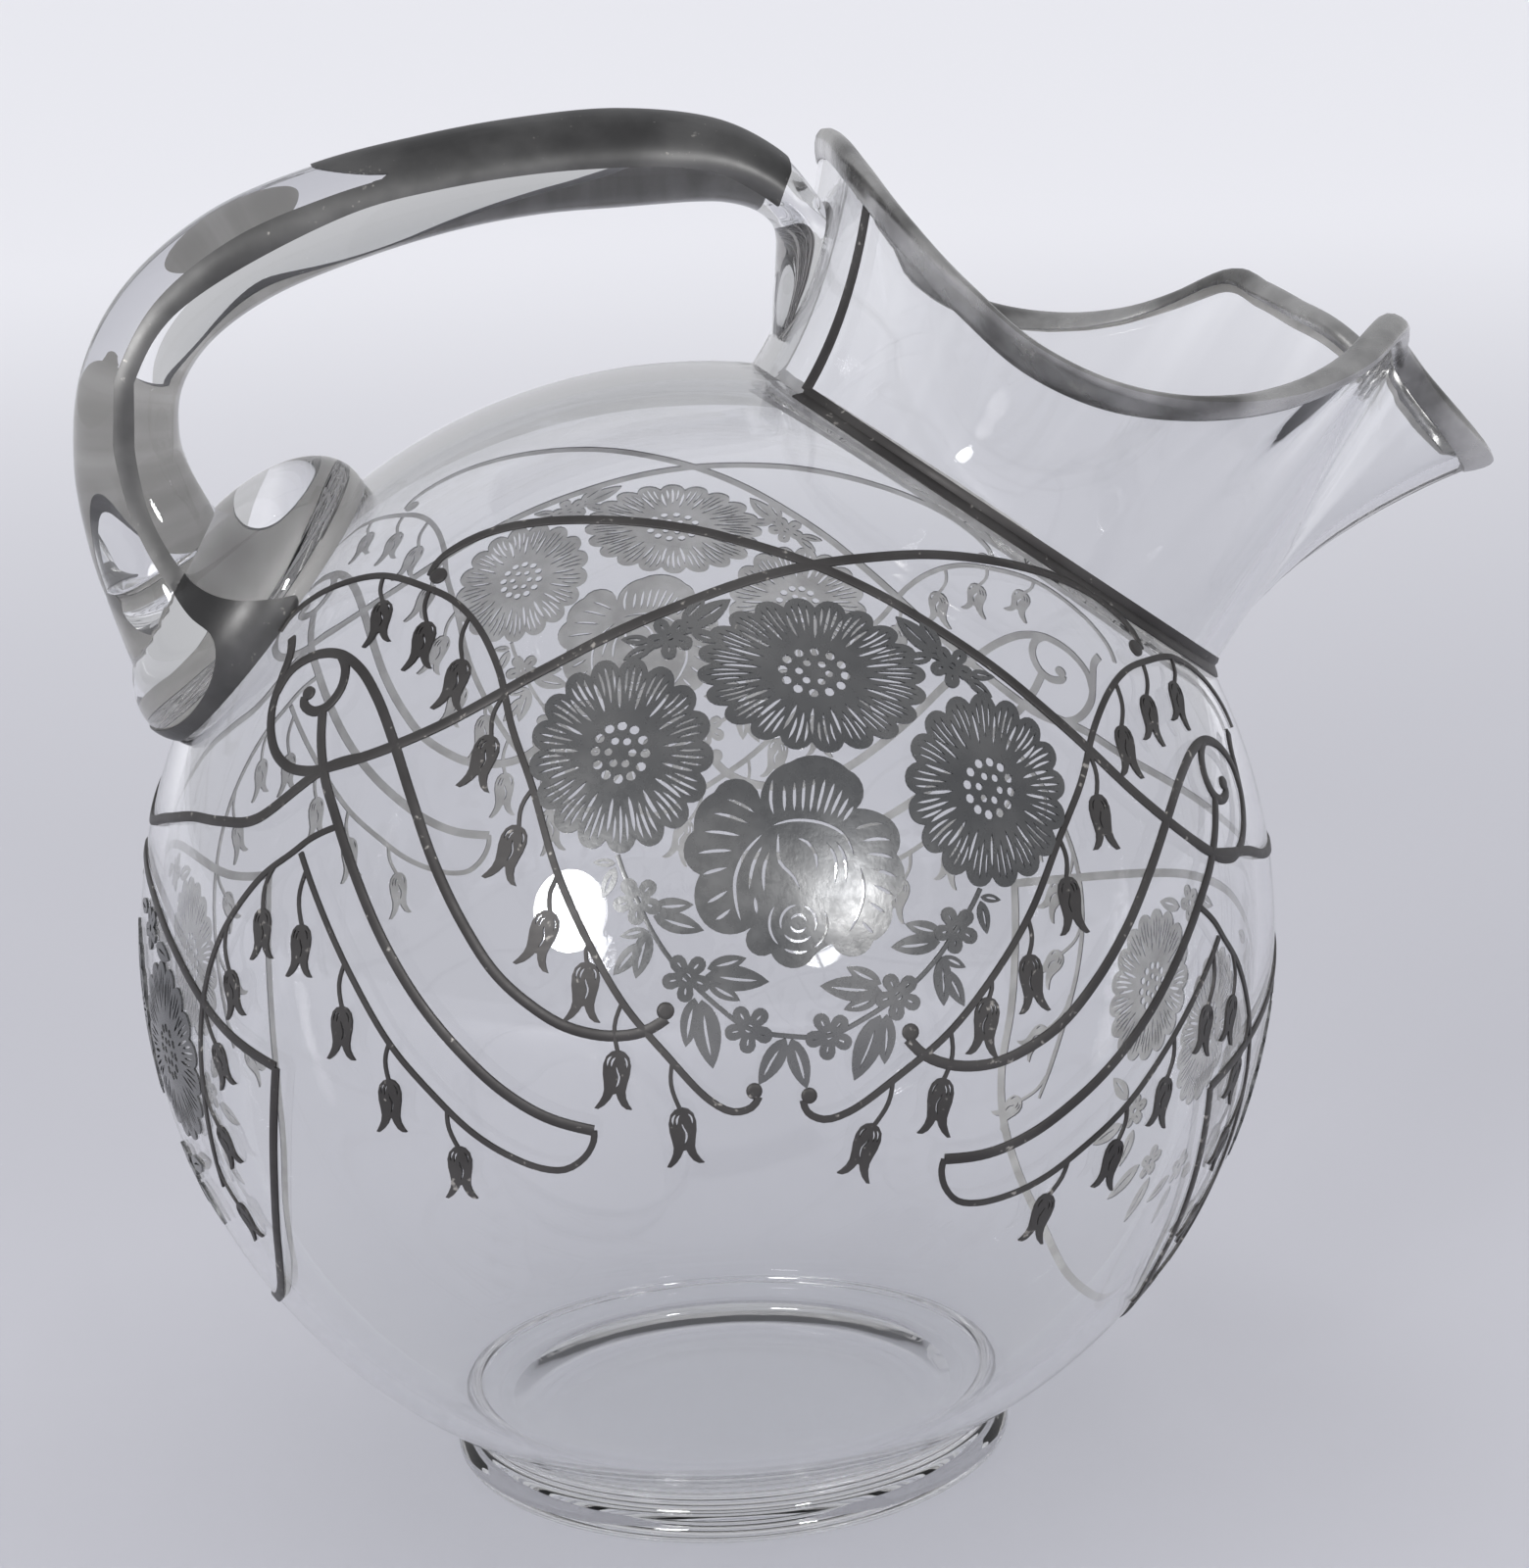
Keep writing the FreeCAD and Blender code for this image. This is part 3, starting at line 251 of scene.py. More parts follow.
# Wreath: florets with their eye and veins, leaves from base to tip, outline and cut lines of the large bloom
FLORETS = [(21.7, 33.4), (23.6, -7), (15.6, -17.5), (5.9, -24.1)]
FLORET_RADIUS = 3.6
FLORET_PETALS = 5
FLORET_NOTCH = 0.48
FLORET_EYE = 0.6
FLORET_VEIN = (1.5, 2.6)
FLORET_VEIN_WIDTH = 0.28
LEAVES = [
    (19.2, 35.2, 12.8, 40.6), (20, 36, 16.7, 40.5), (18.6, 34.5, 13.7, 33.2), (24.7, 32.8, 29, 32.9),
    (24.3, 31.8, 28.4, 29.4), (27.2, -1.8, 30.5, -1.9), (27.2, -2.4, 28.7, -7.1), (21.5, -7.8, 15.5, -7),
    (21.2, -9.1, 13.7, -10.6), (21.8, -11.2, 25.7, -12.4), (21.7, -11.2, 22.9, -18.3), (22.5, -13, 26.2, -18.1),
    (13, -17, 3.7, -17.1), (12.8, -16, 7.3, -14), (12.6, -18, 7.6, -20.2), (13.2, -20.5, 10.5, -30.4),
    (14.2, -20.3, 14.8, -27.6), (0.4, -25, 3.6, -32.2),
]
LEAF_FATNESS = 0.2
LEAF_BULGE = (0.85, 0.8)
LEAF_SWAY = 0.08
LEAF_CUT = (0.22, 0.5, 0.82)
LEAF_CUT_WIDTH = 0.42
BLOOM_PLACE = (-1.2, 0.6)
BLOOM_HALF_SIZES = (16.4, 15.5)
BLOOM = [
    (0.5, 0.54), (0.55, 0.75), (0.41, 0.9), (0.1, 1.01), (-0.12, 0.92), (-0.31, 0.75), (-0.36, 0.54), (-0.57, 0.72),
    (-0.77, 0.57), (-0.91, 0.39), (-0.92, 0.2), (-1, 0.02), (-0.84, -0.21), (-0.85, -0.52), (-0.77, -0.65),
    (-0.55, -0.74), (-0.36, -0.66), (-0.31, -0.9), (-0.16, -0.88), (0.02, -1), (0.18, -0.93), (0.32, -0.77),
    (0.37, -0.74), (0.59, -0.84), (0.74, -0.68), (0.89, -0.46), (0.87, -0.3), (0.98, -0.05), (0.89, 0.15),
    (0.9, 0.36), (0.76, 0.5), (0.63, 0.54),
]
BLOOM_CUTS = [
    [(-5.5, 12.1), (-5.6, 8.9), (-5, 6.8)], [(-3.8, 11.4), (-3.5, 7.4)], [(-2.3, 12.1), (-2.1, 7.6)],
    [(-0.9, 12.6), (-0.9, 7.7)], [(0.6, 12.9), (0.2, 7.7)], [(2.2, 13), (1.2, 7.7)], [(3.6, 12.5), (2.2, 7.6)],
    [(4.8, 11.6), (3.2, 7.5)], [(5.8, 10.5), (4.2, 7.3)], [(6.6, 9.3), (5.1, 6.9)],
    [(-5.2, 5.2), (-3.1, 6.1), (-0.2, 6.5), (3, 6.1), (5.5, 4.8), (7.1, 1.9)],
    [(-6.5, 3.9), (-8.8, 0.9), (-9.9, -2.7), (-9.5, -6.3), (-8.6, -8.8)],
    [(-4.2, 4.4), (-4.1, 2.2), (-3.7, 0.1), (-1.5, -1.9), (-0.5, -3.6)],
    [(-1.5, 3.8), (0.1, 3.3), (1.5, 1.4), (1.7, -0.7)], [(-6.4, 2.2), (-7.5, -0.7), (-7.8, -4.2)],
    [(-5.3, 1.4), (-5.9, -1.2), (-5.6, -4.4)], [(-6.9, -5.2), (-6.4, -7.6)], [(2.8, 3.6), (4.3, 1.4), (4.5, -2.3)],
    [(4.2, 3.9), (5.7, 1.6), (6.1, -2)], [(8, 0.6), (8.9, -2.7), (8.3, -6.4), (7.2, -9)],
    [(-7.7, 6.9), (-10.3, 8.2), (-11.9, 8.6)], [(-8.6, 5.3), (-11.6, 6.2), (-13.8, 6.4)],
    [(-9.6, 3.4), (-12.7, 3.7), (-14.9, 3.6)], [(-10.6, 1.2), (-13.4, 0.9), (-15.6, 0.4)],
    [(-11.1, -1.3), (-13.2, -2), (-14.6, -2.6)], [(-10.8, -4.6), (-12.4, -5.8), (-13.6, -6.6)],
    [(-10.2, -7.2), (-11.3, -8.3), (-12.2, -8.9)], [(6.9, 5.9), (9.4, 6.9), (11.2, 7.2)],
    [(8.2, 4.3), (10.6, 4.9), (12.5, 4.9)], [(8.9, 2.5), (11.2, 2.6), (13, 2.3)],
    [(9.7, 0.4), (11.9, 0.1), (13.7, -0.4)], [(10.2, -1.9), (12, -2.5), (13.4, -3.1)],
    [(9.9, -4.4), (11.3, -5.2), (12.3, -5.7)], [(8.9, -7.2), (10, -8.2), (10.8, -8.8)],
]
BLOOM_CUT_WIDTH = 0.5
# Round cuts of the small rose in the bloom: radius, start and stop in degrees
ROSE_PLACE = (-0.3, -8.4)
ROSE_CUTS = [
    (1.2, 20, 160), (1.2, 200, 340), (2.6, 100, 205), (2.6, 222, 322), (2.6, 340, 440), (4.2, 150, 232),
    (4.2, 246, 294), (4.2, 308, 390),
]
ROSE_CUT_WIDTH = 0.4

# End panels, one half: out from the middle and up
LINK_BACK = [(50, 38.8), (40, 36), (30, 34.3), (17.5, 31), (0, 27)]
LINK_FRONT = [(58.8, 21.3), (50, 18.8), (40, 15.2), (25, 12.6), (0, 11)]
TOP_BACK = [(63.1, 0.4), (50, 4), (30, 13.8), (17.5, 18.5), (0, 21.2)]
SIDE_BACK = [(63.1, 0.4), (60.6, -10), (56.3, -21.9), (51.3, -31.3), (45, -40), (36, -48), (20, -55), (0, -59)]
TOP_FRONT = [(70, -16.9), (56, -13), (33, -7), (18, -4), (0, -2.5)]
SIDE_FRONT = [(70, -16.9), (66.9, -30), (63.1, -42.5), (58.8, -55), (52, -64), (40, -72), (22, -78), (0, -81)]
FRONT_DROP = 22.5
END_DAISIES = [(0.0, -5.5, 12.6, 15.0, 17), (27.5, -5.5, 12.6, 15.0, 17)]
END_FLORETS = [(0.0, -33.0), (19.0, 13.0), (17.0, -28.0)]
END_LEAVES = [
    (23, 11.2, 30, 10.5), (15, 15, 9, 15), (21.5, -27, 29, -25), (19, -31.5, 24, -38), (14, -31, 11, -38),
    (4, -35, 7, -44),
]

# Studio: floor radius, light distance in metres, camera as elevation, azimuth and roll
FLOOR_RADIUS = 20000.0
FLOOR_COLUMNS = 96
LIGHT_DISTANCE = 1.6
CAMERA_ANGLES = (13.61, -8.78, -2.63)
CAMERA_TARGET = (10.6, 0, 115.8)
CAMERA_DISTANCE = 604.0
CAMERA_LENS = 82.3
SENSOR_HEIGHT = 36.0
CAMERA_REACH = 100.0

CENTRE = Vector((0, 0, BALL_HEIGHT))
UP = Vector((0, 0, 1))
SIDE = Vector((0, 1, 0))
NECK_AXIS = Vector((math.sin(NECK_TILT), 0, math.cos(NECK_TILT)))
SPOUT_AXIS = Vector((math.cos(NECK_TILT), 0, -math.sin(NECK_TILT)))
COLLAR_CENTRE = CENTRE + NECK_AXIS * math.sqrt(BALL ** 2 - COLLAR ** 2)


# Materials
class Socket:
    """One output in a node tree that sums can be written on."""

    def __init__(self, paint, socket):
        self.paint = paint
        self.socket = socket

    def maths(self, operation, first, second):
        return self.paint.node("Math", {0: first, 1: second}, operation=operation)

    def __add__(self, other):
        return self.maths("ADD", self, other)

    def __radd__(self, other):
        return self.maths("ADD", other, self)

    def __sub__(self, other):
        return self.maths("SUBTRACT", self, other)

    def __rsub__(self, other):
        return self.maths("SUBTRACT", other, self)

    def __mul__(self, other):
        return self.maths("MULTIPLY", self, other)

    def __rmul__(self, other):
        return self.maths("MULTIPLY", other, self)


class Paint:
    """Makes the nodes of one material or of the world."""

    def __init__(self, owner):
        owner.use_nodes = True
        self.owner = owner
        self.tree = owner.node_tree
        self.tree.nodes.clear()

    def node(self, kind, values=None, out=0, **settings):
        """Makes a node, sets or links its inputs and returns one of its outputs."""
        node = self.tree.nodes.new("ShaderNode" + kind)
        for name, value in settings.items():
            setattr(node, name, value)
        for name, value in (values or {}).items():
            if isinstance(value, Socket):
                self.tree.links.new(value.socket, node.inputs[name])
            else:
                node.inputs[name].default_value = value
        return Socket(self, node.outputs[out]) if len(node.outputs) else None

    def ramp(self, factor, low, high, low_value=0.0, high_value=1.0):
        """A smooth step of a value between two levels."""
        levels = {"Value": factor, "From Min": low, "From Max": high, "To Min": low_value, "To Max": high_value}
        return self.node("MapRange", levels, interpolation_type="SMOOTHSTEP")

    def mix(self, factor, low, high):
        """One colour turning into another; 6 and 7 are the node's two colours and 2 is its colour output."""
        return self.node("Mix", {0: factor, 6: low, 7: high}, 2, data_type="RGBA")

    def noise(self, scale, detail, stretch=(1, 1, 1), roughness=0.5):
        place = self.node("TexCoord", out=3)
        grain = self.node("Mapping", {"Vector": place, "Scale": stretch})
        return self.node("TexNoise", {"Vector": grain, "Scale": scale, "Detail": detail, "Roughness": roughness})

    def bump(self, height, strength, distance):
        return self.node("Bump", {"Height": height, "Strength": strength, "Distance": distance})

    def surface(self, shader):
        """Sets what the material shows and returns the material."""
        self.node("OutputMaterial", {"Surface": shader})
        return self.owner


def grey(level, tint=(1, 1, 1)):
    return (level * tint[0], level * tint[1], level * tint[2], 1)


def glass_material():
    """Clear blown glass with slow waves; shadow and diffuse rays pass straight through, so the floor isn't black."""
    paint = Paint(bpy.data.materials.new("clear blown glass"))
    waves = paint.noise(9.0, 1.5)
    smears = paint.noise(60.0, 4.0, (1, 1, 0.4))
    body = paint.node("BsdfPrincipled", {
        "Base Color": grey(0.955, (0.992, 0.995, 1.0)), "Transmission Weight": 1.0, "IOR": 1.5,
        "Roughness": paint.ramp(smears, 0.55, 0.8, 0.0, 0.02), "Normal": paint.bump(waves, 0.03, 0.002)})
    clear = paint.node("BsdfTransparent", {"Color": grey(0.968, (0.995, 0.998, 1.0))})
    passing = paint.node("LightPath", out=1) + paint.node("LightPath", out=2)
    return paint.surface(paint.node("MixShader", {0: passing, 1: body, 2: clear}))


def silver_material(name, dark, worn, wear, streaks, rough, metallic):
    """Tarnished silver: fine rubbed streaks, cloudy tarnish and small worn spots."""
    paint = Paint(bpy.data.materials.new(name))
    rubbed = paint.noise(420.0, 4.0, streaks, 0.65)
    clouds = paint.noise(55.0, 4.0)
    spots = paint.noise(800.0, 2.0)
    tarnish = paint.mix(paint.ramp(clouds, 0.3, 0.72), dark, worn)
    bare = paint.ramp(spots + clouds * 0.5, 1.06 - wear, 1.2 - wear)
    colour = paint.mix(bare * 0.6, tarnish, grey(0.5, (1.0, 0.95, 0.88)))
    return paint.surface(paint.node("BsdfPrincipled", {
        "Base Color": colour, "Metallic": metallic, "Roughness": rough + (rubbed - 0.5) * 0.28,
        "Normal": paint.bump(rubbed, 0.18, 0.0002)}))


def underside_material(name, low, high, metallic):
    """Silver as it shows through the glass from behind: matt and a little blotched."""
    paint = Paint(bpy.data.materials.new(name))
    blotches = paint.ramp(paint.noise(160.0, 4.0), 0.35, 0.7)
    colour = paint.mix(blotches, grey(low, (1.0, 0.975, 0.94)), grey(high, (1.0, 0.98, 0.955)))
    return paint.surface(paint.node(
        "BsdfPrincipled", {"Base Color": colour, "Roughness": 0.6, "Metallic": metallic}))


def floor_material():
    """Matt floor with painted light: its colour is darker near the jug and paler far from it, standing in for how the
    studio light falls off across it.
    """
    paint = Paint(bpy.data.materials.new("studio floor with painted falloff"))
    cloth = paint.noise(1.5, 2.0)
    distance = paint.node("VectorMath", {0: paint.node("TexCoord", out=3)}, 1, operation="LENGTH")
    # painted light: this ramp paints the floor dark round the jug and pale further off
    far = paint.ramp(distance + cloth * 0.1, 0.0, 2.6)
    colour = paint.mix(far, grey(0.48, (0.985, 0.985, 1.07)), grey(0.83, (0.985, 0.985, 1.03)))
    return paint.surface(paint.node(
        "BsdfPrincipled", {"Base Color": colour, "Roughness": 0.75, "Specular IOR Level": 0.1}))


glass = glass_material()
sheet_silver = silver_material(
    "tarnished sheet silver", grey(0.1, (0.98, 1.0, 1.03)), grey(0.18), 0.05, (1, 0.15, 1), 0.28, 0.7)
line_silver = silver_material(
    "tarnished line silver", grey(0.034, (1.06, 0.98, 0.97)), grey(0.062, (1.04, 0.99, 0.97)), 0.15,
    (0.3, 0.3, 1), 0.48, 0.45)
bright_silver = silver_material(
    "rubbed rim silver", grey(0.14, (1.0, 0.985, 0.96)), grey(0.6, (1.0, 0.99, 0.97)), 0.1,
    (0.15, 1, 0.4), 0.25, 0.95)
handle_silver = silver_material(
    "rubbed handle silver", grey(0.06, (1.0, 0.99, 0.99)), grey(0.14, (1.0, 0.99, 0.98)), 0.1,
    (0.2, 1, 0.2), 0.42, 0.85)
under_silver = underside_material("silver under the glass", 0.36, 0.5, 0.0)
under_handle = underside_material("handle silver under the glass", 0.2, 0.28, 0.2)


# Meshes
class Build:
    """Points and faces of one piece, each face with the number of its material: 0 outside, 1 underside."""

    def __init__(self):
        self.points = []
        self.faces = []
        self.paints = []

    def add(self, points):
        """Adds points and returns the number of the first."""
        self.points += points
        return len(self.points) - len(points)

    def face(self, corners, paint=0):
        self.faces.append(list(corners))
        self.paints.append(paint)

    def grid(self, rows, closed=False, upper=math.inf):
        """Quads round and between rows of points; columns from upper on are underside. Returns the first point."""
        width = len(rows[0])
        start = self.add([point for row in rows for point in row])
        for row in range(len(rows) if closed else len(rows) - 1):
            near, far = start + row * width, start + (row + 1) % len(rows) * width
            for column in range(width):
                beside = (column + 1) % width
                self.face([near + column, near + beside, far + beside, far + column], int(column >= upper))
        return start

    def strip(self, rows, upper):
        """A strip with a closed section and flat ends."""
        width = len(rows[0])
        start = self.grid(rows, False, upper)
        for first in (start, start + (len(rows) - 1) * width):
            self.face(range(first, first + width))


def capped(rows, tips=None):
    """A closed shape from rings of points, with triangles to a tip at either end."""
    build = Build()
    width = len(rows[0])
    build.grid(rows)
    tips = tips or [sum(rows[end], Vector()) / width for end in (0, -1)]
    for row, tip in zip((0, len(rows) - 1), tips):
        top = build.add([tip])
        for column in range(width):
            build.face([row * width + column, row * width + (column + 1) % width, top])
    return build


def shown_object(name, data):
    item = bpy.data.objects.new(name, data)
    bpy.context.scene.collection.objects.link(item)
    return item


def mesh_object(name, build, materials, mirror=1, crease=CREASE):
    """An object from a build, in metres, faces turned outward, smooth but for sharp corners."""
    data = bpy.data.meshes.new(name)
    data.from_pydata([(x * MM, y * MM * mirror, z * MM) for x, y, z in build.points], [], build.faces)
    for material in materials:
        data.materials.append(material)
    data.polygons.foreach_set("material_index", build.paints)
    data.polygons.foreach_set("use_smooth", [True] * len(build.faces))
    tidy_mesh(data, crease)
    return shown_object(name, data)


def tidy_mesh(data, crease):
    shape = bmesh.new()
    shape.from_mesh(data)
    bmesh.ops.recalc_face_normals(shape, faces=shape.faces)
    for edge in shape.edges:
        edge.smooth = edge.calc_face_angle(0.0) < math.radians(crease)
    shape.to_mesh(data)
    shape.free()


def place_piece(item, nodes):
    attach(item, "root")
    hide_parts(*nodes)


# Smooth lines
def turns(count):
    """Angles evenly round a circle."""
    return [2 * math.pi * step / count for step in range(count)]


def oval(angle, half_width, half_height):
    return half_width * math.cos(angle), half_height * math.sin(angle)


def curve(start, end, leaving, arriving, t):
    """Place on a smooth span between two places with given rates at its ends."""
    back = 1 - t
    return (start * ((1 + 2 * t) * back ** 2) + end * (t * t * (3 - 2 * t))
            + leaving * (t * back ** 2) - arriving * (t * t * back))


def through(points, step):
    """Places about one step apart along a smooth line through the points."""
    points = [Vector(point) for point in points]
    if len(points) == 2:
        points.insert(1, (points[0] + points[1]) / 2)
    gaps = [max((after - before).length, 1e-6) ** 0.5 for before, after in zip(points, points[1:])]
    rates = [(after - before) / gap for before, after, gap in zip(points, points[1:], gaps)]
    slopes = [(rates[i - 1] * gaps[i] + rates[i] * gaps[i - 1]) / (gaps[i] + gaps[i - 1]) for i in range(1, len(rates))]
    slopes = [rates[0] * 1.5 - slopes[0] * 0.5] + slopes + [rates[-1] * 1.5 - slopes[-1] * 0.5]
    line = []
    for i, gap in enumerate(gaps):
        count = max(2, math.ceil((points[i + 1] - points[i]).length / step))
        line += [curve(points[i], points[i + 1], slopes[i] * gap, slopes[i + 1] * gap, part / count)
                 for part in range(count)]
    return line + [points[-1]]


def spans(points, parts):
    """The same number of places on every span of a smooth line through the points."""
    ends = [points[0] * 2 - points[1]] + points + [points[-1] * 2 - points[-2]]
    line = []
    for a, b, c, d in zip(ends, ends[1:], ends[2:], ends[3:]):
        line += [curve(b, c, (c - a) / 2, (d - b) / 2, part / parts) for part in range(parts)]
    return line + [points[-1]]


def depth_inside(outline, x, y):
    """Distance to a closed flat line, positive inside it."""
    inside = False
    nearest = math.inf
    for (ax, ay), (bx, by) in zip(outline, outline[1:] + outline[:1]):
        if (ay > y) != (by > y) and x < (bx - ax) * (y - ay) / (by - ay) + ax:
            inside = not inside
        dx, dy = bx - ax, by - ay
        length = dx * dx + dy * dy or 1e-9
        t = min(1, max(0, ((x - ax) * dx + (y - ay) * dy) / length))
        nearest = min(nearest, math.hypot(x - ax - t * dx, y - ay - t * dy))
    return nearest if inside else -nearest


# Neck of the jug
RIM_ROUND = [(angle, RIM_FAR.get(angle, height) * NECK_HEIGHT, radius * COLLAR) for angle, height, radius in RIM]
RIM_ROUND += [(360 - angle, height * NECK_HEIGHT, radius * COLLAR) for angle, height, radius in RIM[-2:0:-1]]


def rim_at(angle):
    """Rim height and radius at an angle in degrees, on a smooth line through the stations."""
    angle %= 360
    count = len(RIM_ROUND)
    low = max(i for i in range(count) if RIM_ROUND[i][0] <= angle)
    near = []
    for step in (-1, 0, 1, 2):
        turn, index = divmod(low + step, count)
        near.append((RIM_ROUND[index][0] + 360 * turn, *RIM_ROUND[index][1:]))
    gaps = [near[i + 1][0] - near[i][0] for i in range(3)]
    result = []
    for k in (1, 2):
        rates = [(near[i + 1][k] - near[i][k]) / gaps[i] for i in range(3)]
        start, end = [(rates[i] * gaps[i + 1] + rates[i + 1] * gaps[i]) / (gaps[i] + gaps[i + 1]) for i in (0, 1)]
        result.append(curve(near[1][k], near[2][k], gaps[1] * start, gaps[1] * end, (angle - near[1][0]) / gaps[1]))
    return result


def neck_flat(angle, level):
    height, radius = rim_at(angle)
    reach = COLLAR + (radius - COLLAR) * max(level, 0) ** NECK_FLARE
    turn = math.radians(angle)
    return Vector((reach * math.cos(turn), reach * math.sin(turn), height * level))


def neck_point(angle, level, inset=0.0):
    """Place on the neck at a share of its height there, moved inward by inset."""
    flat = neck_flat(angle, level)
    along = neck_flat(angle + 0.5, level) - neck_flat(angle - 0.5, level)
    flat += Vector((-along.y, along.x, 0)).normalized() * inset
    return COLLAR_CENTRE + SPOUT_AXIS * flat.x + SIDE * flat.y + NECK_AXIS * flat.z


# Glass body: ball and foot turned about the upright axis, cut at the collar and carried on up the neck
def ball_arc(radius, start_height, rows):
    low = math.asin((start_height - BALL_HEIGHT) / radius)
    angles = [low + (math.pi / 2 - low) * row / rows for row in range(rows + 1)]
    return [(radius * math.cos(angle), BALL_HEIGHT + radius * math.sin(angle)) for angle in angles]


def turned(profile):
    """A profile turned about the upright axis; its first and last point lie on that axis."""
    shape = bmesh.new()
    rings = []
    for radius, height in profile[1:-1]:
        rings.append([shape.verts.new((*oval(angle, radius, radius), height)) for angle in turns(BODY_COLUMNS)])
    ends = [shape.verts.new((0, 0, profile[0][1])), shape.verts.new((0, 0, profile[-1][1]))]
    for column in range(BODY_COLUMNS):
        beside = (column + 1) % BODY_COLUMNS
        shape.faces.new((ends[0], rings[0][beside], rings[0][column]))
        shape.faces.new((ends[1], rings[-1][column], rings[-1][beside]))
        for low, high in zip(rings, rings[1:]):
            shape.faces.new((low[column], low[beside], high[beside], high[column]))
    return shape


def collar_angle(place):
    out = place - COLLAR_CENTRE
    return math.degrees(math.atan2(out.dot(SIDE), out.dot(SPOUT_AXIS))) % 360


def open_at_collar(shape, depth):
    """Cuts the mouth side off a ball and returns the cut's points in order round the neck."""
    smallest_gap = 0.9
    geometry = shape.verts[:] + shape.edges[:] + shape.faces[:]
    bmesh.ops.bisect_plane(
        shape, geom=geometry, plane_co=COLLAR_CENTRE - NECK_AXIS * depth, plane_no=NECK_AXIS, clear_outer=True)
    bmesh.ops.remove_doubles(shape, verts=[vert for vert in shape.verts if vert.is_boundary], dist=smallest_gap)
    return sorted([vert for vert in shape.verts if vert.is_boundary], key=lambda vert: collar_angle(vert.co))


def raise_neck(shape, ring, inset):
    """Carries a ball's cut edge up the neck and returns the edge at the rim."""
    angles = [collar_angle(vert.co) for vert in ring]
    for level in NECK_LEVELS:
        row = [shape.verts.new(neck_point(angle, level, inset)) for angle in angles]
        for index in range(len(ring)):
            beside = (index + 1) % len(ring)
            shape.faces.new((ring[index], ring[beside], row[beside], row[index]))
        ring = row
    return ring


def glass_body():
    """Outside and inside skins, joined round the rim."""
    inner = BALL - WALL
    inner_depth = math.sqrt(BALL ** 2 - COLLAR ** 2) - math.sqrt(inner ** 2 - (COLLAR - WALL) ** 2)
    outside = FOOT + ball_arc(BALL, FOOT_TOP, OUTSIDE_ROWS)
    inside = FLOOR + ball_arc(inner, FLOOR_TOP, INSIDE_ROWS)
    build = Build()
    rims = []
    for profile, depth, inset in ((outside, 0, 0), (inside, inner_depth, WALL)):
        shape = turned(profile)
        rim = raise_neck(shape, open_at_collar(shape, depth), inset)
        shape.verts.index_update()
        start = build.add([vert.co.copy() for vert in shape.verts])
        for face in shape.faces:
            build.face([start + vert.index for vert in face.verts])
        rims.append([start + vert.index for vert in rim])
        shape.free()
    stitch(build, *rims)
    return build


def stitch(build, outer, inner):
    """Triangles between two rings with different numbers of points."""
    def angle(index):
        return collar_angle(build.points[index])

    i = j = 0
    while i < len(outer) or j < len(inner):
        next_outer = angle(outer[i + 1]) if i + 1 < len(outer) else 360 + angle(outer[0])
        next_inner = angle(inner[j + 1]) if j + 1 < len(inner) else 360 + angle(inner[0])
        here = [outer[i % len(outer)], inner[j % len(inner)]]
        if j >= len(inner) or (i < len(outer) and next_outer <= next_inner):
            i += 1
            build.face(here + [outer[i % len(outer)]])
        else:
            j += 1
            build.face(here + [inner[j % len(inner)]])


# Handle
PAD_NORMAL = Vector((-math.cos(PAD_ANGLE), 0, math.sin(PAD_ANGLE)))
PAD_DOWN = PAD_NORMAL.cross(SIDE)
NECK_SEAT = neck_point(180, NECK_SEAT_LEVEL)
BALL_SEAT = CENTRE + PAD_NORMAL * BALL
HANDLE_SPAN = (BALL_SEAT - NECK_SEAT).length
HANDLE_RUN = (BALL_SEAT - NECK_SEAT).normalized()
HANDLE_RISE = Vector((HANDLE_RUN.z, 0, -HANDLE_RUN.x))


def handle_place(run, rise):
    return NECK_SEAT + HANDLE_RUN * (run * HANDLE_SPAN) + HANDLE_RISE * (rise * HANDLE_SPAN)


def handle_arch():
    """Oval sections swept along the handle."""
    stations = ([handle_place(row[0], row[1]) for row in HANDLE], [handle_place(row[2], row[3]) for row in HANDLE],
                [row[4] * HANDLE_HALF_WIDTH for row in HANDLE])
    return capped([
        [(low + high) / 2 + (high - low) * (0.5 * math.cos(turn)) + SIDE * (half_width * math.sin(turn))
         for turn in turns(HANDLE_COLUMNS)]
        for low, high, half_width in zip(*[spans(row, HANDLE_PARTS) for row in stations])])


def dome(centre, axes, columns, rows):
    """A closed egg shape on three axes."""
    rings = []
    for row in range(1, rows):
        tilt = math.pi * row / rows
        rings.append([
            centre + axes[0] * (math.sin(tilt) * math.cos(turn)) + axes[1] * (math.sin(tilt) * math.sin(turn))
            + axes[2] * math.cos(tilt) for turn in turns(columns)])
    return capped(rings, (centre + axes[2], centre - axes[2]))


def neck_plug(inset):
    """The neck's inside as a closed shape, reaching to the middle of its wall."""
    angles = range(0, 360, 3)
    return capped([[neck_point(angle, level / 10, inset) for angle in angles] for level in range(11)])


def combine(target, tool, operation):
    """One exact boolean between two closed objects; the tool is used up."""
    step = target.modifiers.new("combine", "BOOLEAN")
    step.object = tool
    step.operation = operation
    step.solver = "EXACT"
    bpy.context.view_layer.update()
    result = bpy.data.meshes.new_from_object(target.evaluated_get(bpy.context.evaluated_depsgraph_get()))
    target.modifiers.clear()
    target.data = result
    bpy.data.objects.remove(tool)


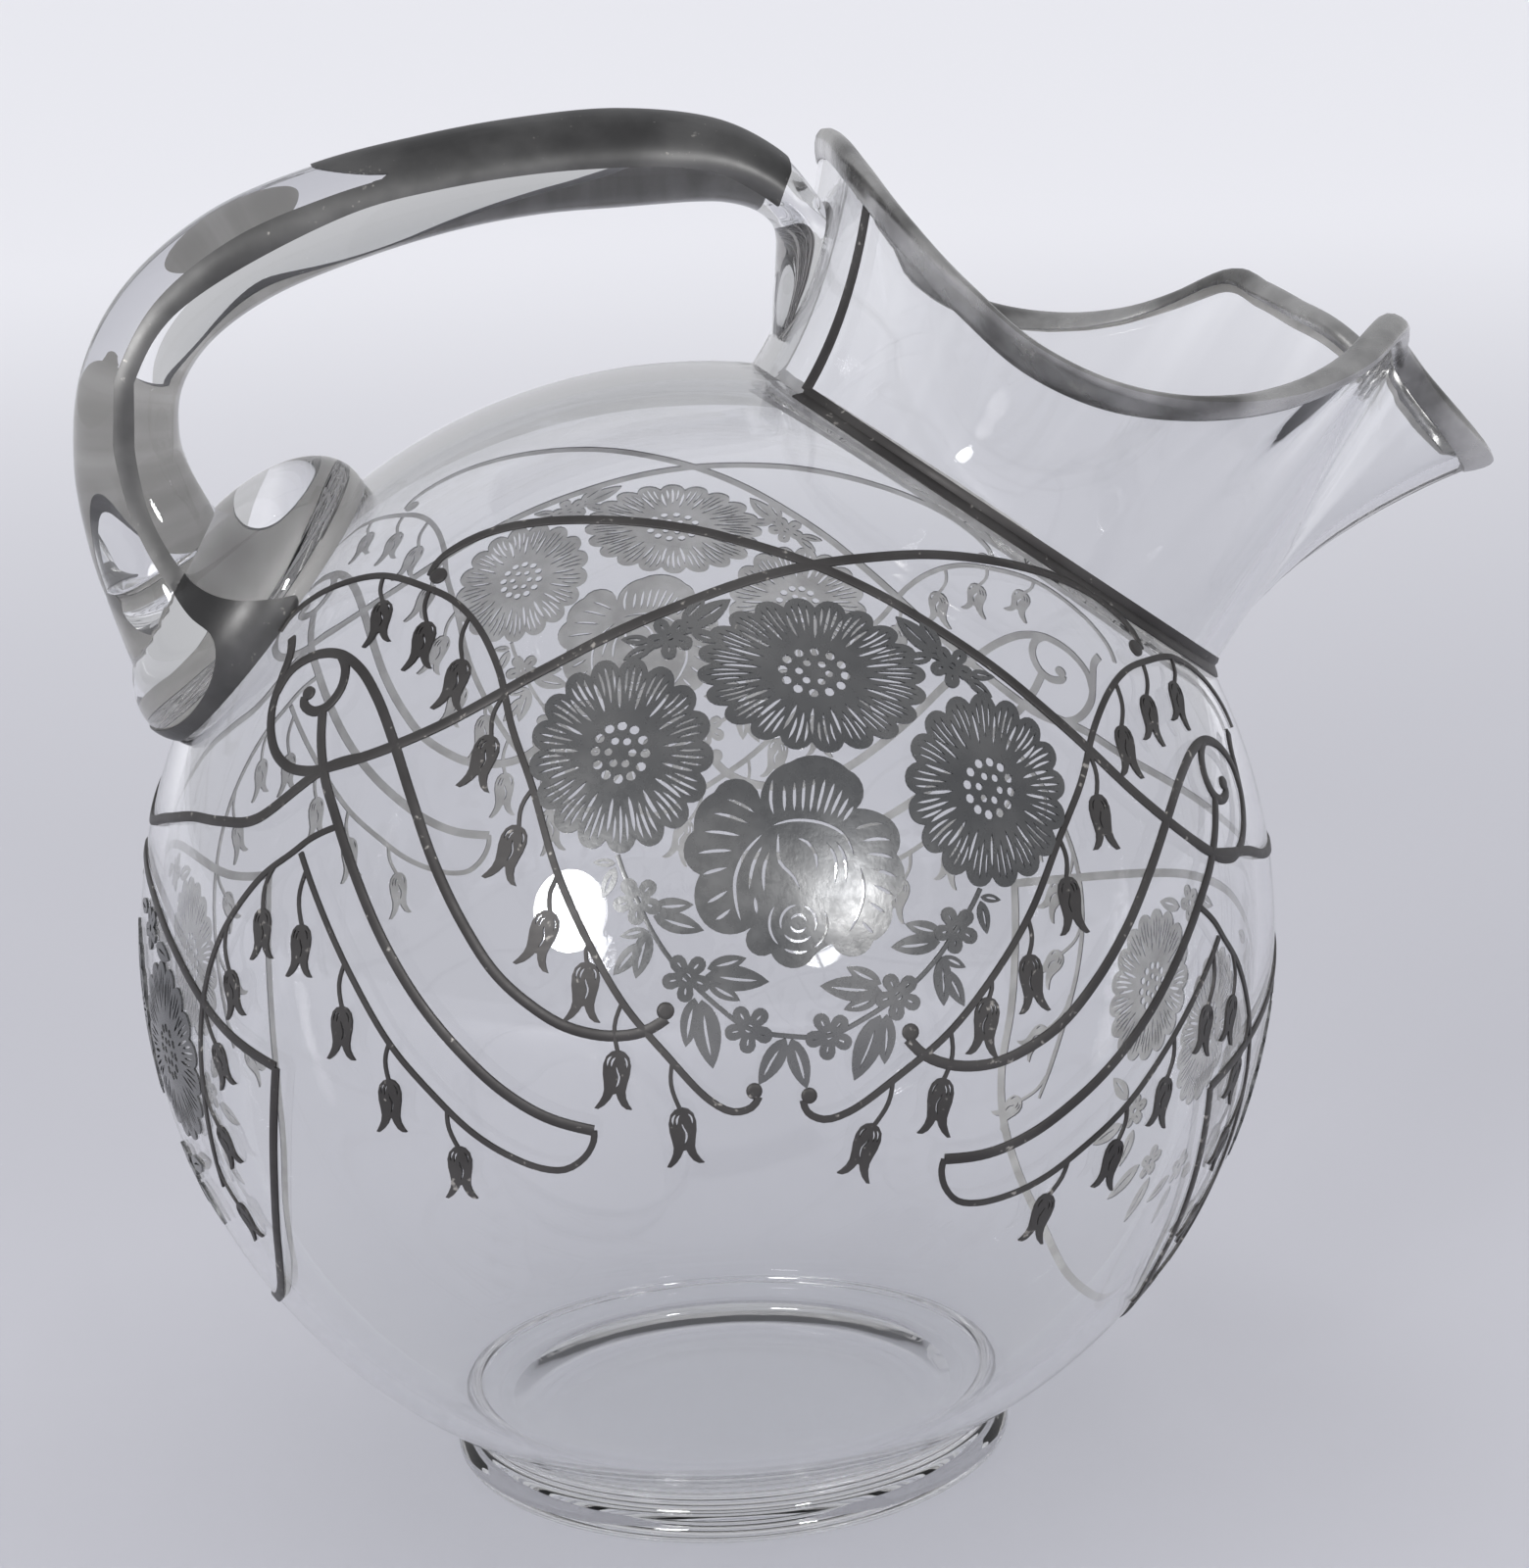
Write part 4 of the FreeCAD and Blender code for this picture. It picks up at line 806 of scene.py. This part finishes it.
def handle_grip():
    """Arch and pad in one, hollowed where they sit on the ball and on the neck."""
    mid_wall = BALL - WALL / 2
    grip = mesh_object("handle blank", handle_arch(), [glass])
    axes = (PAD_DOWN * PAD_HALF_SIZES[0], SIDE * PAD_HALF_SIZES[1], PAD_NORMAL * PAD_HALF_SIZES[2])
    combine(grip, mesh_object("handle pad", dome(BALL_SEAT, axes, *PAD_FINENESS), [glass]), "UNION")
    ball_axes = (Vector((mid_wall, 0, 0)), SIDE * mid_wall, UP * mid_wall)
    combine(grip, mesh_object("ball seat", dome(CENTRE, ball_axes, *SEAT_FINENESS), [glass]), "DIFFERENCE")
    combine(grip, mesh_object("neck seat", neck_plug(WALL / 2), [glass]), "DIFFERENCE")
    return grip


def handle_side_place(station, across):
    low = min(int(station), len(HANDLE) - 2)
    mix = station - low
    row = [a + (b - a) * mix for a, b in zip(HANDLE[low], HANDLE[low + 1])]
    inner = handle_place(row[0], row[1])
    return inner + (handle_place(row[2], row[3]) - inner) * ((1 + across) / 2)


def strap_outline():
    """Side view of the silver on the handle, as a closed line in X and Z."""
    saddle, back = [[[handle_side_place(*share) for share in shares] for shares in pair]
                    for pair in ((SADDLE_FRONT, SADDLE_SIDE), (STRIP_BACK, TONGUE))]
    boot = [[(x, 0, z) for x, z in row] for row in BOOT]
    line = [place for row in saddle + boot + back for place in through(row, STRAP_STEP)]
    clear = HANDLE_RISE * STRAP_CLEAR
    line += [handle_side_place(station, 1) + clear for station in STRAP_RETURN]
    line.append(handle_side_place(STRAP_LAST, 1) + clear - HANDLE_RUN * STRAP_FRONT_CLEAR)
    return [(place.x, place.z) for place in line]


def strap_build(grip):
    """The part of the handle's skin that carries silver, thickened outward and a little inward."""
    outline = strap_outline()
    ball_clear = 0.1
    shape = bmesh.new()
    shape.from_mesh(grip.data)
    bmesh.ops.triangulate(shape, faces=shape.faces)
    shape.normal_update()
    places = {}
    for vert in shape.verts:
        place = vert.co / MM
        covered = min(depth_inside(outline, place.x, place.z), (place - CENTRE).length - BALL + ball_clear)
        places[vert] = (place, vert.normal.copy(), covered)
    corners = {}
    points = []
    faces = []

    def corner(key, place, normal):
        if key not in corners:
            corners[key] = len(points)
            points.append((place, normal.normalized()))
        return corners[key]

    for face in shape.faces:
        loop = []
        verts = face.verts[:]
        for here, after in zip(verts, verts[1:] + verts[:1]):
            a, b = places[here], places[after]
            if a[2] > 0:
                loop.append(corner(here.index, a[0], a[1]))
            if (a[2] > 0) != (b[2] > 0):
                t = a[2] / (a[2] - b[2])
                key = tuple(sorted((here.index, after.index)))
                loop.append(corner(key, a[0].lerp(b[0], t), a[1].lerp(b[1], t)))
        if len(loop) > 2:
            faces.append(loop)
    shape.free()
    build = Build()
    thicken(build, faces, [p + n * SILVER_HIGH for p, n in points], [p + n * SILVER_LOW for p, n in points])
    return build


def thicken(build, faces, top, low):
    """A closed sheet from its faces and its upper and lower points."""
    start = build.add(top + low)
    under = start + len(top)
    for face in faces:
        build.face([start + index for index in face])
        build.face([under + index for index in reversed(face)], 1)
    sides = dict.fromkeys(pair for face in faces for pair in zip(face, face[1:] + face[:1]))
    for a, b in sides:
        if (b, a) not in sides:
            build.face([start + b, start + a, under + a, under + b])


# Silver bands on the neck
def rim_band():
    build = Build()
    rows = []
    for column in range(RIM_COLUMNS):
        angle = 360 * column / RIM_COLUMNS
        height = rim_at(angle)[0]
        rows.append([neck_point(angle, 1 - drop / height, inset) for drop, inset in RIM_SHOWN + RIM_HIDDEN])
    build.grid(rows, True, len(RIM_SHOWN) - 1)
    return build


def collar_place(angle, along, lift):
    """Place on the collar band's section: down the ball below the crease or up the neck above it."""
    if along > 0:
        return neck_point(angle, along / rim_at(angle)[0], -lift)
    turn = math.asin(COLLAR / BALL) - along / BALL
    out = SPOUT_AXIS * math.cos(math.radians(angle)) + SIDE * math.sin(math.radians(angle))
    return CENTRE + (NECK_AXIS * math.cos(turn) + out * math.sin(turn)) * (BALL + lift)


def collar_band():
    """Band along the crease, open between the neck lines."""
    build = Build()
    parts = 200
    angles = [NECK_LINE_ANGLE * (2 * part / parts - 1) for part in range(parts + 1)]
    rows = [[collar_place(angle, along, lift) for along, lift in COLLAR_SECTION] for angle in angles]
    build.strip(rows, len(COLLAR_SECTION) - 2)
    return build


def neck_line(side):
    """Line up the neck from the collar band to the rim band."""
    build = Build()
    parts = 24
    height, radius = rim_at(side * NECK_LINE_ANGLE)
    low, high = NECK_LINE_GAPS[0], height - NECK_LINE_GAPS[1]
    rows = []
    for part in range(parts + 1):
        level = (low + (high - low) * part / parts) / height
        rows.append([neck_point(side * (NECK_LINE_ANGLE + math.degrees(across / radius)), level, -lift)
                     for across, lift in NECK_LINE_SECTION])
    build.strip(rows, len(NECK_LINE_SECTION) - 1)
    return build


# Overlay on the ball
class Panel:
    """A place on the ball that flat drawings are wrapped round, lowered by drop."""

    def __init__(self, out, across, up, drop=0.0):
        self.out = out
        self.across = across
        self.up = up
        self.drop = drop

    def ray(self, x, y):
        y -= self.drop
        turn = math.hypot(x, y) / BALL
        if turn == 0:
            return self.out.copy()
        heading = (self.across * x + self.up * y).normalized()
        return self.out * math.cos(turn) + heading * math.sin(turn)

    def rays(self, line, flip=1):
        return [self.ray(flip * x, y) for x, y in line]


def tilted_panel(latitude, longitude, turn):
    """Panel at a place on the ball, turned about its own middle; the camera's axes are found the same way."""
    lat, lon, spin = [math.radians(angle) for angle in (latitude, longitude, turn)]
    out = Vector((math.cos(lat) * math.sin(lon), -math.cos(lat) * math.cos(lon), math.sin(lat)))
    east = Vector((math.cos(lon), math.sin(lon), 0))
    north = out.cross(east)
    return Panel(out, east * math.cos(spin) + north * math.sin(spin), north * math.cos(spin) - east * math.sin(spin))


side_panel = tilted_panel(20.3, 1.4, -10.5)
back_panel = Panel(Vector((-1, 0, 0)), -SIDE, UP)
front_panel = Panel(Vector((1, 0, 0)), -SIDE, UP)
front_flower_panel = Panel(Vector((1, 0, 0)), -SIDE, UP, FRONT_DROP)


def ribbon(build, rays, width, start_share=1, end_share=1):
    """A flat line with eased edges on the ball; its ends may be narrower."""
    ease = 6
    line = through([place * BALL for place in rays], LINE_STEP)
    rows = []
    for index, place in enumerate(line):
        along = line[min(index + 1, len(line) - 1)] - line[max(index - 1, 0)]
        sideways = place.cross(along).normalized()
        share = index / (len(line) - 1)
        half = width / 2 * min(1, start_share + ease * share) * min(1, end_share + ease * (1 - share))
        rows.append([CENTRE + (place + sideways * (across * half)).normalized() * (BALL + lift)
                     for across, lift in RIBBON_SECTION])
    build.strip(rows, len(RIBBON_SECTION) - 1)


def knob(build, panel, x, y, radius):
    """A low round bead that ends a line."""
    rings = [[CENTRE + panel.ray(x + radius * share * math.cos(a), y + radius * share * math.sin(a)) * (BALL + lift)
              for a in turns(KNOB_COLUMNS)] for share, lift in KNOB_SECTION]
    start = build.grid(rings)
    top = start + (len(rings) - 1) * KNOB_COLUMNS
    build.face(range(start, start + KNOB_COLUMNS), 1)
    build.face(range(top, top + KNOB_COLUMNS))


def moved(loop, x, y, turn, flip):
    c, s = math.cos(turn), math.sin(turn)
    return [(flip * (x + px * c - py * s), y + px * s + py * c) for px, py in loop]


def cut_sheet(build, panel, outline, cuts, high=SILVER_HIGH, place=(0, 0), turn=0.0, flip=1):
    """A sheet with an outline and cut-outs, put at a place and wrapped on the ball."""
    flat = []
    loops = []
    outline, *cuts = [moved(loop, *place, turn, flip) for loop in [outline] + cuts]
    for loop in [outline] + cuts:
        loops.append(list(range(len(flat), len(flat) + len(loop))))
        flat += [Vector(corner) for corner in loop]
    (low_x, high_x), (low_y, high_y) = [(min(row), max(row)) for row in zip(*outline)]
    for i in range(1, int((high_x - low_x) / SHEET_STEP)):
        for j in range(1, int((high_y - low_y) / SHEET_STEP)):
            x, y = low_x + i * SHEET_STEP, low_y + j * SHEET_STEP
            if depth_inside(outline, x, y) > 0:
                flat.append(Vector((x, y)))
    corners, _, faces, *_ = delaunay_2d_cdt(flat, [], loops, 2, 1e-5)
    used = sorted({index for face in faces for index in face})
    number = {index: k for k, index in enumerate(used)}
    rays = [panel.ray(*corners[index]) for index in used]
    thicken(build, [[number[index] for index in face] for face in faces],
            [CENTRE + ray * (BALL + high) for ray in rays], [CENTRE + ray * (BALL + SILVER_LOW) for ray in rays])


def slit(points, width):
    """Outline of a thin cut that runs to a point at both ends."""
    blunt = 0.4
    line = [place.to_2d() for place in through([(x, y, 0) for x, y in points], CUT_STEP)]
    left = []
    right = []
    for index in range(1, len(line) - 1):
        along = (line[index + 1] - line[index - 1]).normalized()
        half = width / 2 * math.sin(math.pi * index / (len(line) - 1)) ** blunt
        left.append(line[index] + Vector((-along.y, along.x)) * half)
        right.append(line[index] - Vector((-along.y, along.x)) * half)
    return [tuple(p) for p in [line[0]] + right + [line[-1]] + left[::-1]]


def dot(x, y, radius):
    return [(x + radius * math.cos(a), y + radius * math.sin(a)) for a in turns(10)]


def petal_loop(half_width, half_height, petals, notch):
    """Scalloped outline; notch is the reach between petals as a share of the whole."""
    roundness = 2.4
    loop = []
    for step, angle in enumerate(turns(petals * PETAL_PARTS)):
        share = (step % PETAL_PARTS) / PETAL_PARTS
        reach = notch + (1 - notch) * (1 - abs(2 * share - 1) ** roundness)
        loop.append(oval(angle, half_width * reach, half_height * reach))
    return loop


def daisy(build, panel, row, high=SILVER_HIGH, flip=1):
    """Scalloped flower with cut lines along its petals and two rings of holes in its eye."""
    x, y, half_width, half_height, petals = row

    def spot(angle, reach):
        return oval(angle, half_width * reach, half_height * reach)

    cuts = []
    for petal in range(petals):
        lean = DAISY_LEAN * math.sin(petal * DAISY_LEAN_STEP)
        for share, start, stop, width in DAISY_CUTS:
            angle = 2 * math.pi * (petal + share) / petals
            middle = angle + lean * 2 * math.pi / petals
            cuts.append(slit([spot(angle, start), spot(middle, (start + stop) / 2), spot(angle, stop)], width))
    for count, reach, radius in DAISY_HOLES:
        cuts += [dot(*spot(angle, reach), radius) for angle in turns(count)]
    cut_sheet(build, panel, petal_loop(half_width, half_height, petals, DAISY_NOTCH), cuts, high, (x, y), 0, flip)


def floret(build, panel, place, flip=1):
    """Small flower of five petals, each with a thin vein, round a pierced eye."""
    cuts = [dot(0, 0, FLORET_EYE)]
    for petal in range(FLORET_PETALS):
        angle = 2 * math.pi * (petal + 0.5) / FLORET_PETALS
        cuts.append(slit([oval(angle, reach, reach) for reach in FLORET_VEIN], FLORET_VEIN_WIDTH))
    outline = petal_loop(FLORET_RADIUS, FLORET_RADIUS, FLORET_PETALS, FLORET_NOTCH)
    cut_sheet(build, panel, outline, cuts, FLORET_HIGH, place, math.pi / 2, flip)


def leaf(build, panel, row, flip=1):
    """Pointed leaf with a cut along its middle."""
    base_x, base_y, tip_x, tip_y = row
    length = math.hypot(tip_x - base_x, tip_y - base_y)
    half = LEAF_FATNESS * length
    shares = [part / LEAF_PARTS for part in range(1, LEAF_PARTS)]
    edge = [(length * share, half * math.sin(math.pi * share ** LEAF_BULGE[0]) ** LEAF_BULGE[1]) for share in shares]
    outline = [(0, 0)] + [(px, -py) for px, py in edge] + [(length, 0)] + edge[::-1]
    sway = (0, half * LEAF_SWAY, 0)
    cuts = [slit([(length * share, off) for share, off in zip(LEAF_CUT, sway)], min(LEAF_CUT_WIDTH, half / 2))]
    turn = math.atan2(tip_y - base_y, tip_x - base_x)
    cut_sheet(build, panel, outline, cuts, LEAF_HIGH, (base_x, base_y), turn, flip)


def sprays(build, panel, florets, leaves, flip):
    for place in florets:
        floret(build, panel, place, flip)
    for row in leaves:
        leaf(build, panel, row, flip)


def bell(build, panel, row, flip=1):
    """Bellflower cup with two flared tails and curling cut lines, on a thin stalk."""
    stem_x, stem_y, top_x, top_y, low_x, low_y = row
    turn = math.atan2(low_y - top_y, low_x - top_x) + math.pi / 2
    cuts = [slit(cut, BELL_CUT_WIDTH) for cut in BELL_CUTS]
    cut_sheet(build, panel, BELL_CUP, cuts, SILVER_HIGH, (top_x, top_y), turn, flip)
    sway = STALK_SWAY * math.hypot(top_x - stem_x, top_y - stem_y)
    middle = ((stem_x + top_x) / 2 + sway, (stem_y + top_y) / 2)
    ribbon(build, panel.rays([(stem_x, stem_y), middle, (top_x, top_y - STALK_OVERLAP)], flip), STALK_WIDTH)


def arc_of(first, middle, last):
    """Points along the circle through three places, without the last."""
    ax, ay, bx, by, cx, cy = *first, *middle, *last
    d = 2 * (ax * (by - cy) + bx * (cy - ay) + cx * (ay - by))
    a2, b2, c2 = ax * ax + ay * ay, bx * bx + by * by, cx * cx + cy * cy
    ux = (a2 * (by - cy) + b2 * (cy - ay) + c2 * (ay - by)) / d
    uy = (a2 * (cx - bx) + b2 * (ax - cx) + c2 * (bx - ax)) / d
    radius = math.hypot(ax - ux, ay - uy)
    start, mid, end = [math.atan2(py - uy, px - ux) for px, py in (first, middle, last)]
    sweep = (end - start) % (2 * math.pi)
    if (mid - start) % (2 * math.pi) > sweep:
        sweep -= 2 * math.pi
    angles = [start + sweep * part / ARC_PARTS for part in range(ARC_PARTS)]
    return [(ux + radius * math.cos(angle), uy + radius * math.sin(angle)) for angle in angles]


def centre_bloom(build, panel):
    """Large flower with arched petals, drawn by cuts, and a small rose at its lower edge."""
    corners = [(BLOOM_PLACE[0] + x * BLOOM_HALF_SIZES[0], BLOOM_PLACE[1] + y * BLOOM_HALF_SIZES[1]) for x, y in BLOOM]
    outline = []
    for index in range(0, len(corners), 2):
        outline += arc_of(corners[index], corners[index + 1], corners[(index + 2) % len(corners)])
    cuts = [slit(points, BLOOM_CUT_WIDTH) for points in BLOOM_CUTS]
    for radius, start, stop in ROSE_CUTS:
        angles = [math.radians(start + (stop - start) * part / ROSE_PARTS) for part in range(ROSE_PARTS + 1)]
        line = [(ROSE_PLACE[0] + radius * math.cos(a), ROSE_PLACE[1] + radius * math.sin(a)) for a in angles]
        cuts.append(slit(line, ROSE_CUT_WIDTH))
    cut_sheet(build, panel, outline, cuts, BLOOM_HIGH)


line_pieces = ("crossing_arcs", "scroll_straps", "flower_stems", "bellflowers")
sheet_pieces = ("daisies", "centre_bloom", "garland")


def side_panel_builds():
    """Pieces of the photographed side; the far side is their mirror image."""
    builds = {name: Build() for name in line_pieces + sheet_pieces}
    for flip in (1, -1):
        for name, line, width, start_share, end_share in LINES:
            ribbon(builds[name], side_panel.rays(line, flip), width, start_share, end_share)
        for name, x, y, radius in KNOBS:
            knob(builds[name], side_panel, flip * x, y, radius)
        for row in BELLS:
            bell(builds["bellflowers"], side_panel, row, flip)
        daisy(builds["daisies"], side_panel, SIDE_DAISY, SIDE_DAISY_HIGH, flip)
        sprays(builds["garland"], side_panel, FLORETS, LEAVES, flip)
    daisy(builds["daisies"], side_panel, TOP_DAISY)
    centre_bloom(builds["centre_bloom"], side_panel)
    return builds


def end_frame(panel, link, top, side, flip):
    """Frame of an end panel and the link that joins the two sides' arcs above it."""
    build = Build()
    for rays in (side_panel.rays(ARC[-2:], flip) + panel.rays(link), panel.rays(top), panel.rays(side)):
        ribbon(build, rays + [Vector((ray.x, -ray.y, ray.z)) for ray in reversed(rays[:-1])], LINE_WIDTH)
    return build


def end_flowers(panel):
    """Flowers and leaves within an end panel's frame."""
    build = Build()
    middle_daisy, outer_daisy = END_DAISIES
    middle_floret, *outer_florets = END_FLORETS
    for flip in (1, -1):
        sprays(build, panel, outer_florets, END_LEAVES, flip)
        daisy(build, panel, outer_daisy, SIDE_DAISY_HIGH, flip)
    daisy(build, panel, middle_daisy)
    floret(build, panel, middle_floret)
    return build


# The pieces
jug = mesh_object("glass_jug", glass_body(), [glass], 1, GLASS_CREASE)
grip = handle_grip()
strap = mesh_object("silver_on_handle", strap_build(grip), [handle_silver, under_handle])
combine(jug, grip, "UNION")
tidy_mesh(jug.data, GLASS_CREASE)
place_piece(jug, ["glass_body", "glass_foot", "glass_handle"])
place_piece(strap, ["handle_strap"])


def silver_piece(name, build, material, mirror=1):
    place_piece(mesh_object("silver_" + name, build, [material, under_silver], mirror), [name])


silver_piece("rim_band", rim_band(), bright_silver)
silver_piece("collar_band", collar_band(), line_silver)
silver_piece("neck_line_left", neck_line(1), line_silver)
silver_piece("neck_line_right", neck_line(-1), line_silver)
for name, build in side_panel_builds().items():
    for side, mirror in (("_right", 1), ("_left", -1)):
        silver_piece(name + side, build, line_silver if name in line_pieces else sheet_silver, mirror)
silver_piece("back_panel_frame", end_frame(back_panel, LINK_BACK, TOP_BACK, SIDE_BACK, 1), line_silver)
silver_piece("front_panel_frame", end_frame(front_panel, LINK_FRONT, TOP_FRONT, SIDE_FRONT, -1), line_silver)
silver_piece("back_panel_flowers", end_flowers(back_panel), sheet_silver)
silver_piece("front_panel_flowers", end_flowers(front_flower_panel), sheet_silver)


# Floor, light and camera
def studio_floor():
    build = Build()
    build.add([(*oval(angle, FLOOR_RADIUS, FLOOR_RADIUS), 0) for angle in turns(FLOOR_COLUMNS)])
    build.face(range(FLOOR_COLUMNS))
    floor = mesh_object("studio floor", build, [floor_material()])


def studio_world():
    """Soft light, a little darker overhead; the camera sees a paler plain ground."""
    world = bpy.data.worlds.new("soft studio")
    bpy.context.scene.world = world
    paint = Paint(world)
    height = paint.node("SeparateXYZ", {0: paint.node("TexCoord")}, 2)
    around = paint.mix(paint.ramp(height, 0.0, 0.55), grey(0.56, (0.985, 0.99, 1.02)), grey(0.5, (0.98, 0.99, 1.03)))
    colour = paint.mix(paint.node("LightPath"), around, grey(0.8, (0.985, 0.99, 1.02)))
    paint.node("OutputWorld", {"Surface": paint.node("Background", {"Color": colour, "Strength": 1.0})})


def lamp(name, kind, direction, **settings):
    """A light that shines on the ball from a direction."""
    light = bpy.data.lights.new(name, kind)
    for setting, value in settings.items():
        setattr(light, setting, value)
    item = shown_object(name, light)
    away = Vector(direction).normalized()
    item.location = CENTRE * MM + away * LIGHT_DISTANCE
    item.rotation_euler = away.to_track_quat("Z", "Y").to_euler()
    return item


def photo_camera():
    view = tilted_panel(*CAMERA_ANGLES)
    data = bpy.data.cameras.new("photo camera")
    data.sensor_fit = "VERTICAL"
    data.sensor_height = SENSOR_HEIGHT
    data.lens = CAMERA_LENS
    data.clip_end = CAMERA_REACH
    camera = shown_object("photo camera", data)
    turn = Matrix((view.across, view.up, view.out)).transposed().to_4x4()
    turn.translation = (Vector(CAMERA_TARGET) + view.out * CAMERA_DISTANCE) * MM
    camera.matrix_world = turn
    bpy.context.scene.camera = camera


studio_floor()
studio_world()
# Broad light from above that neither silver nor glass mirrors, and two windows that both do
top_light = lamp("top light", "SUN", (0.1, 0.2, 1.0), energy=1.65, angle=math.radians(75))
top_light.visible_glossy = False
top_light.visible_transmission = False
lamp("left window", "AREA", (-0.544, -0.782, 0.306), shape="ELLIPSE", size=0.38, size_y=0.42, energy=11)
lamp("right window", "AREA", (0.317, -0.892, 0.323), shape="ELLIPSE", size=0.19, size_y=0.31, energy=5.5)
photo_camera()

scene = bpy.context.scene
scene.view_settings.view_transform = "Standard"
scene.cycles.max_bounces = 24
scene.cycles.transmission_bounces = 24
scene.cycles.glossy_bounces = 12
scene.cycles.transparent_max_bounces = 24
scene.cycles.caustics_refractive = False
scene.cycles.caustics_reflective = False
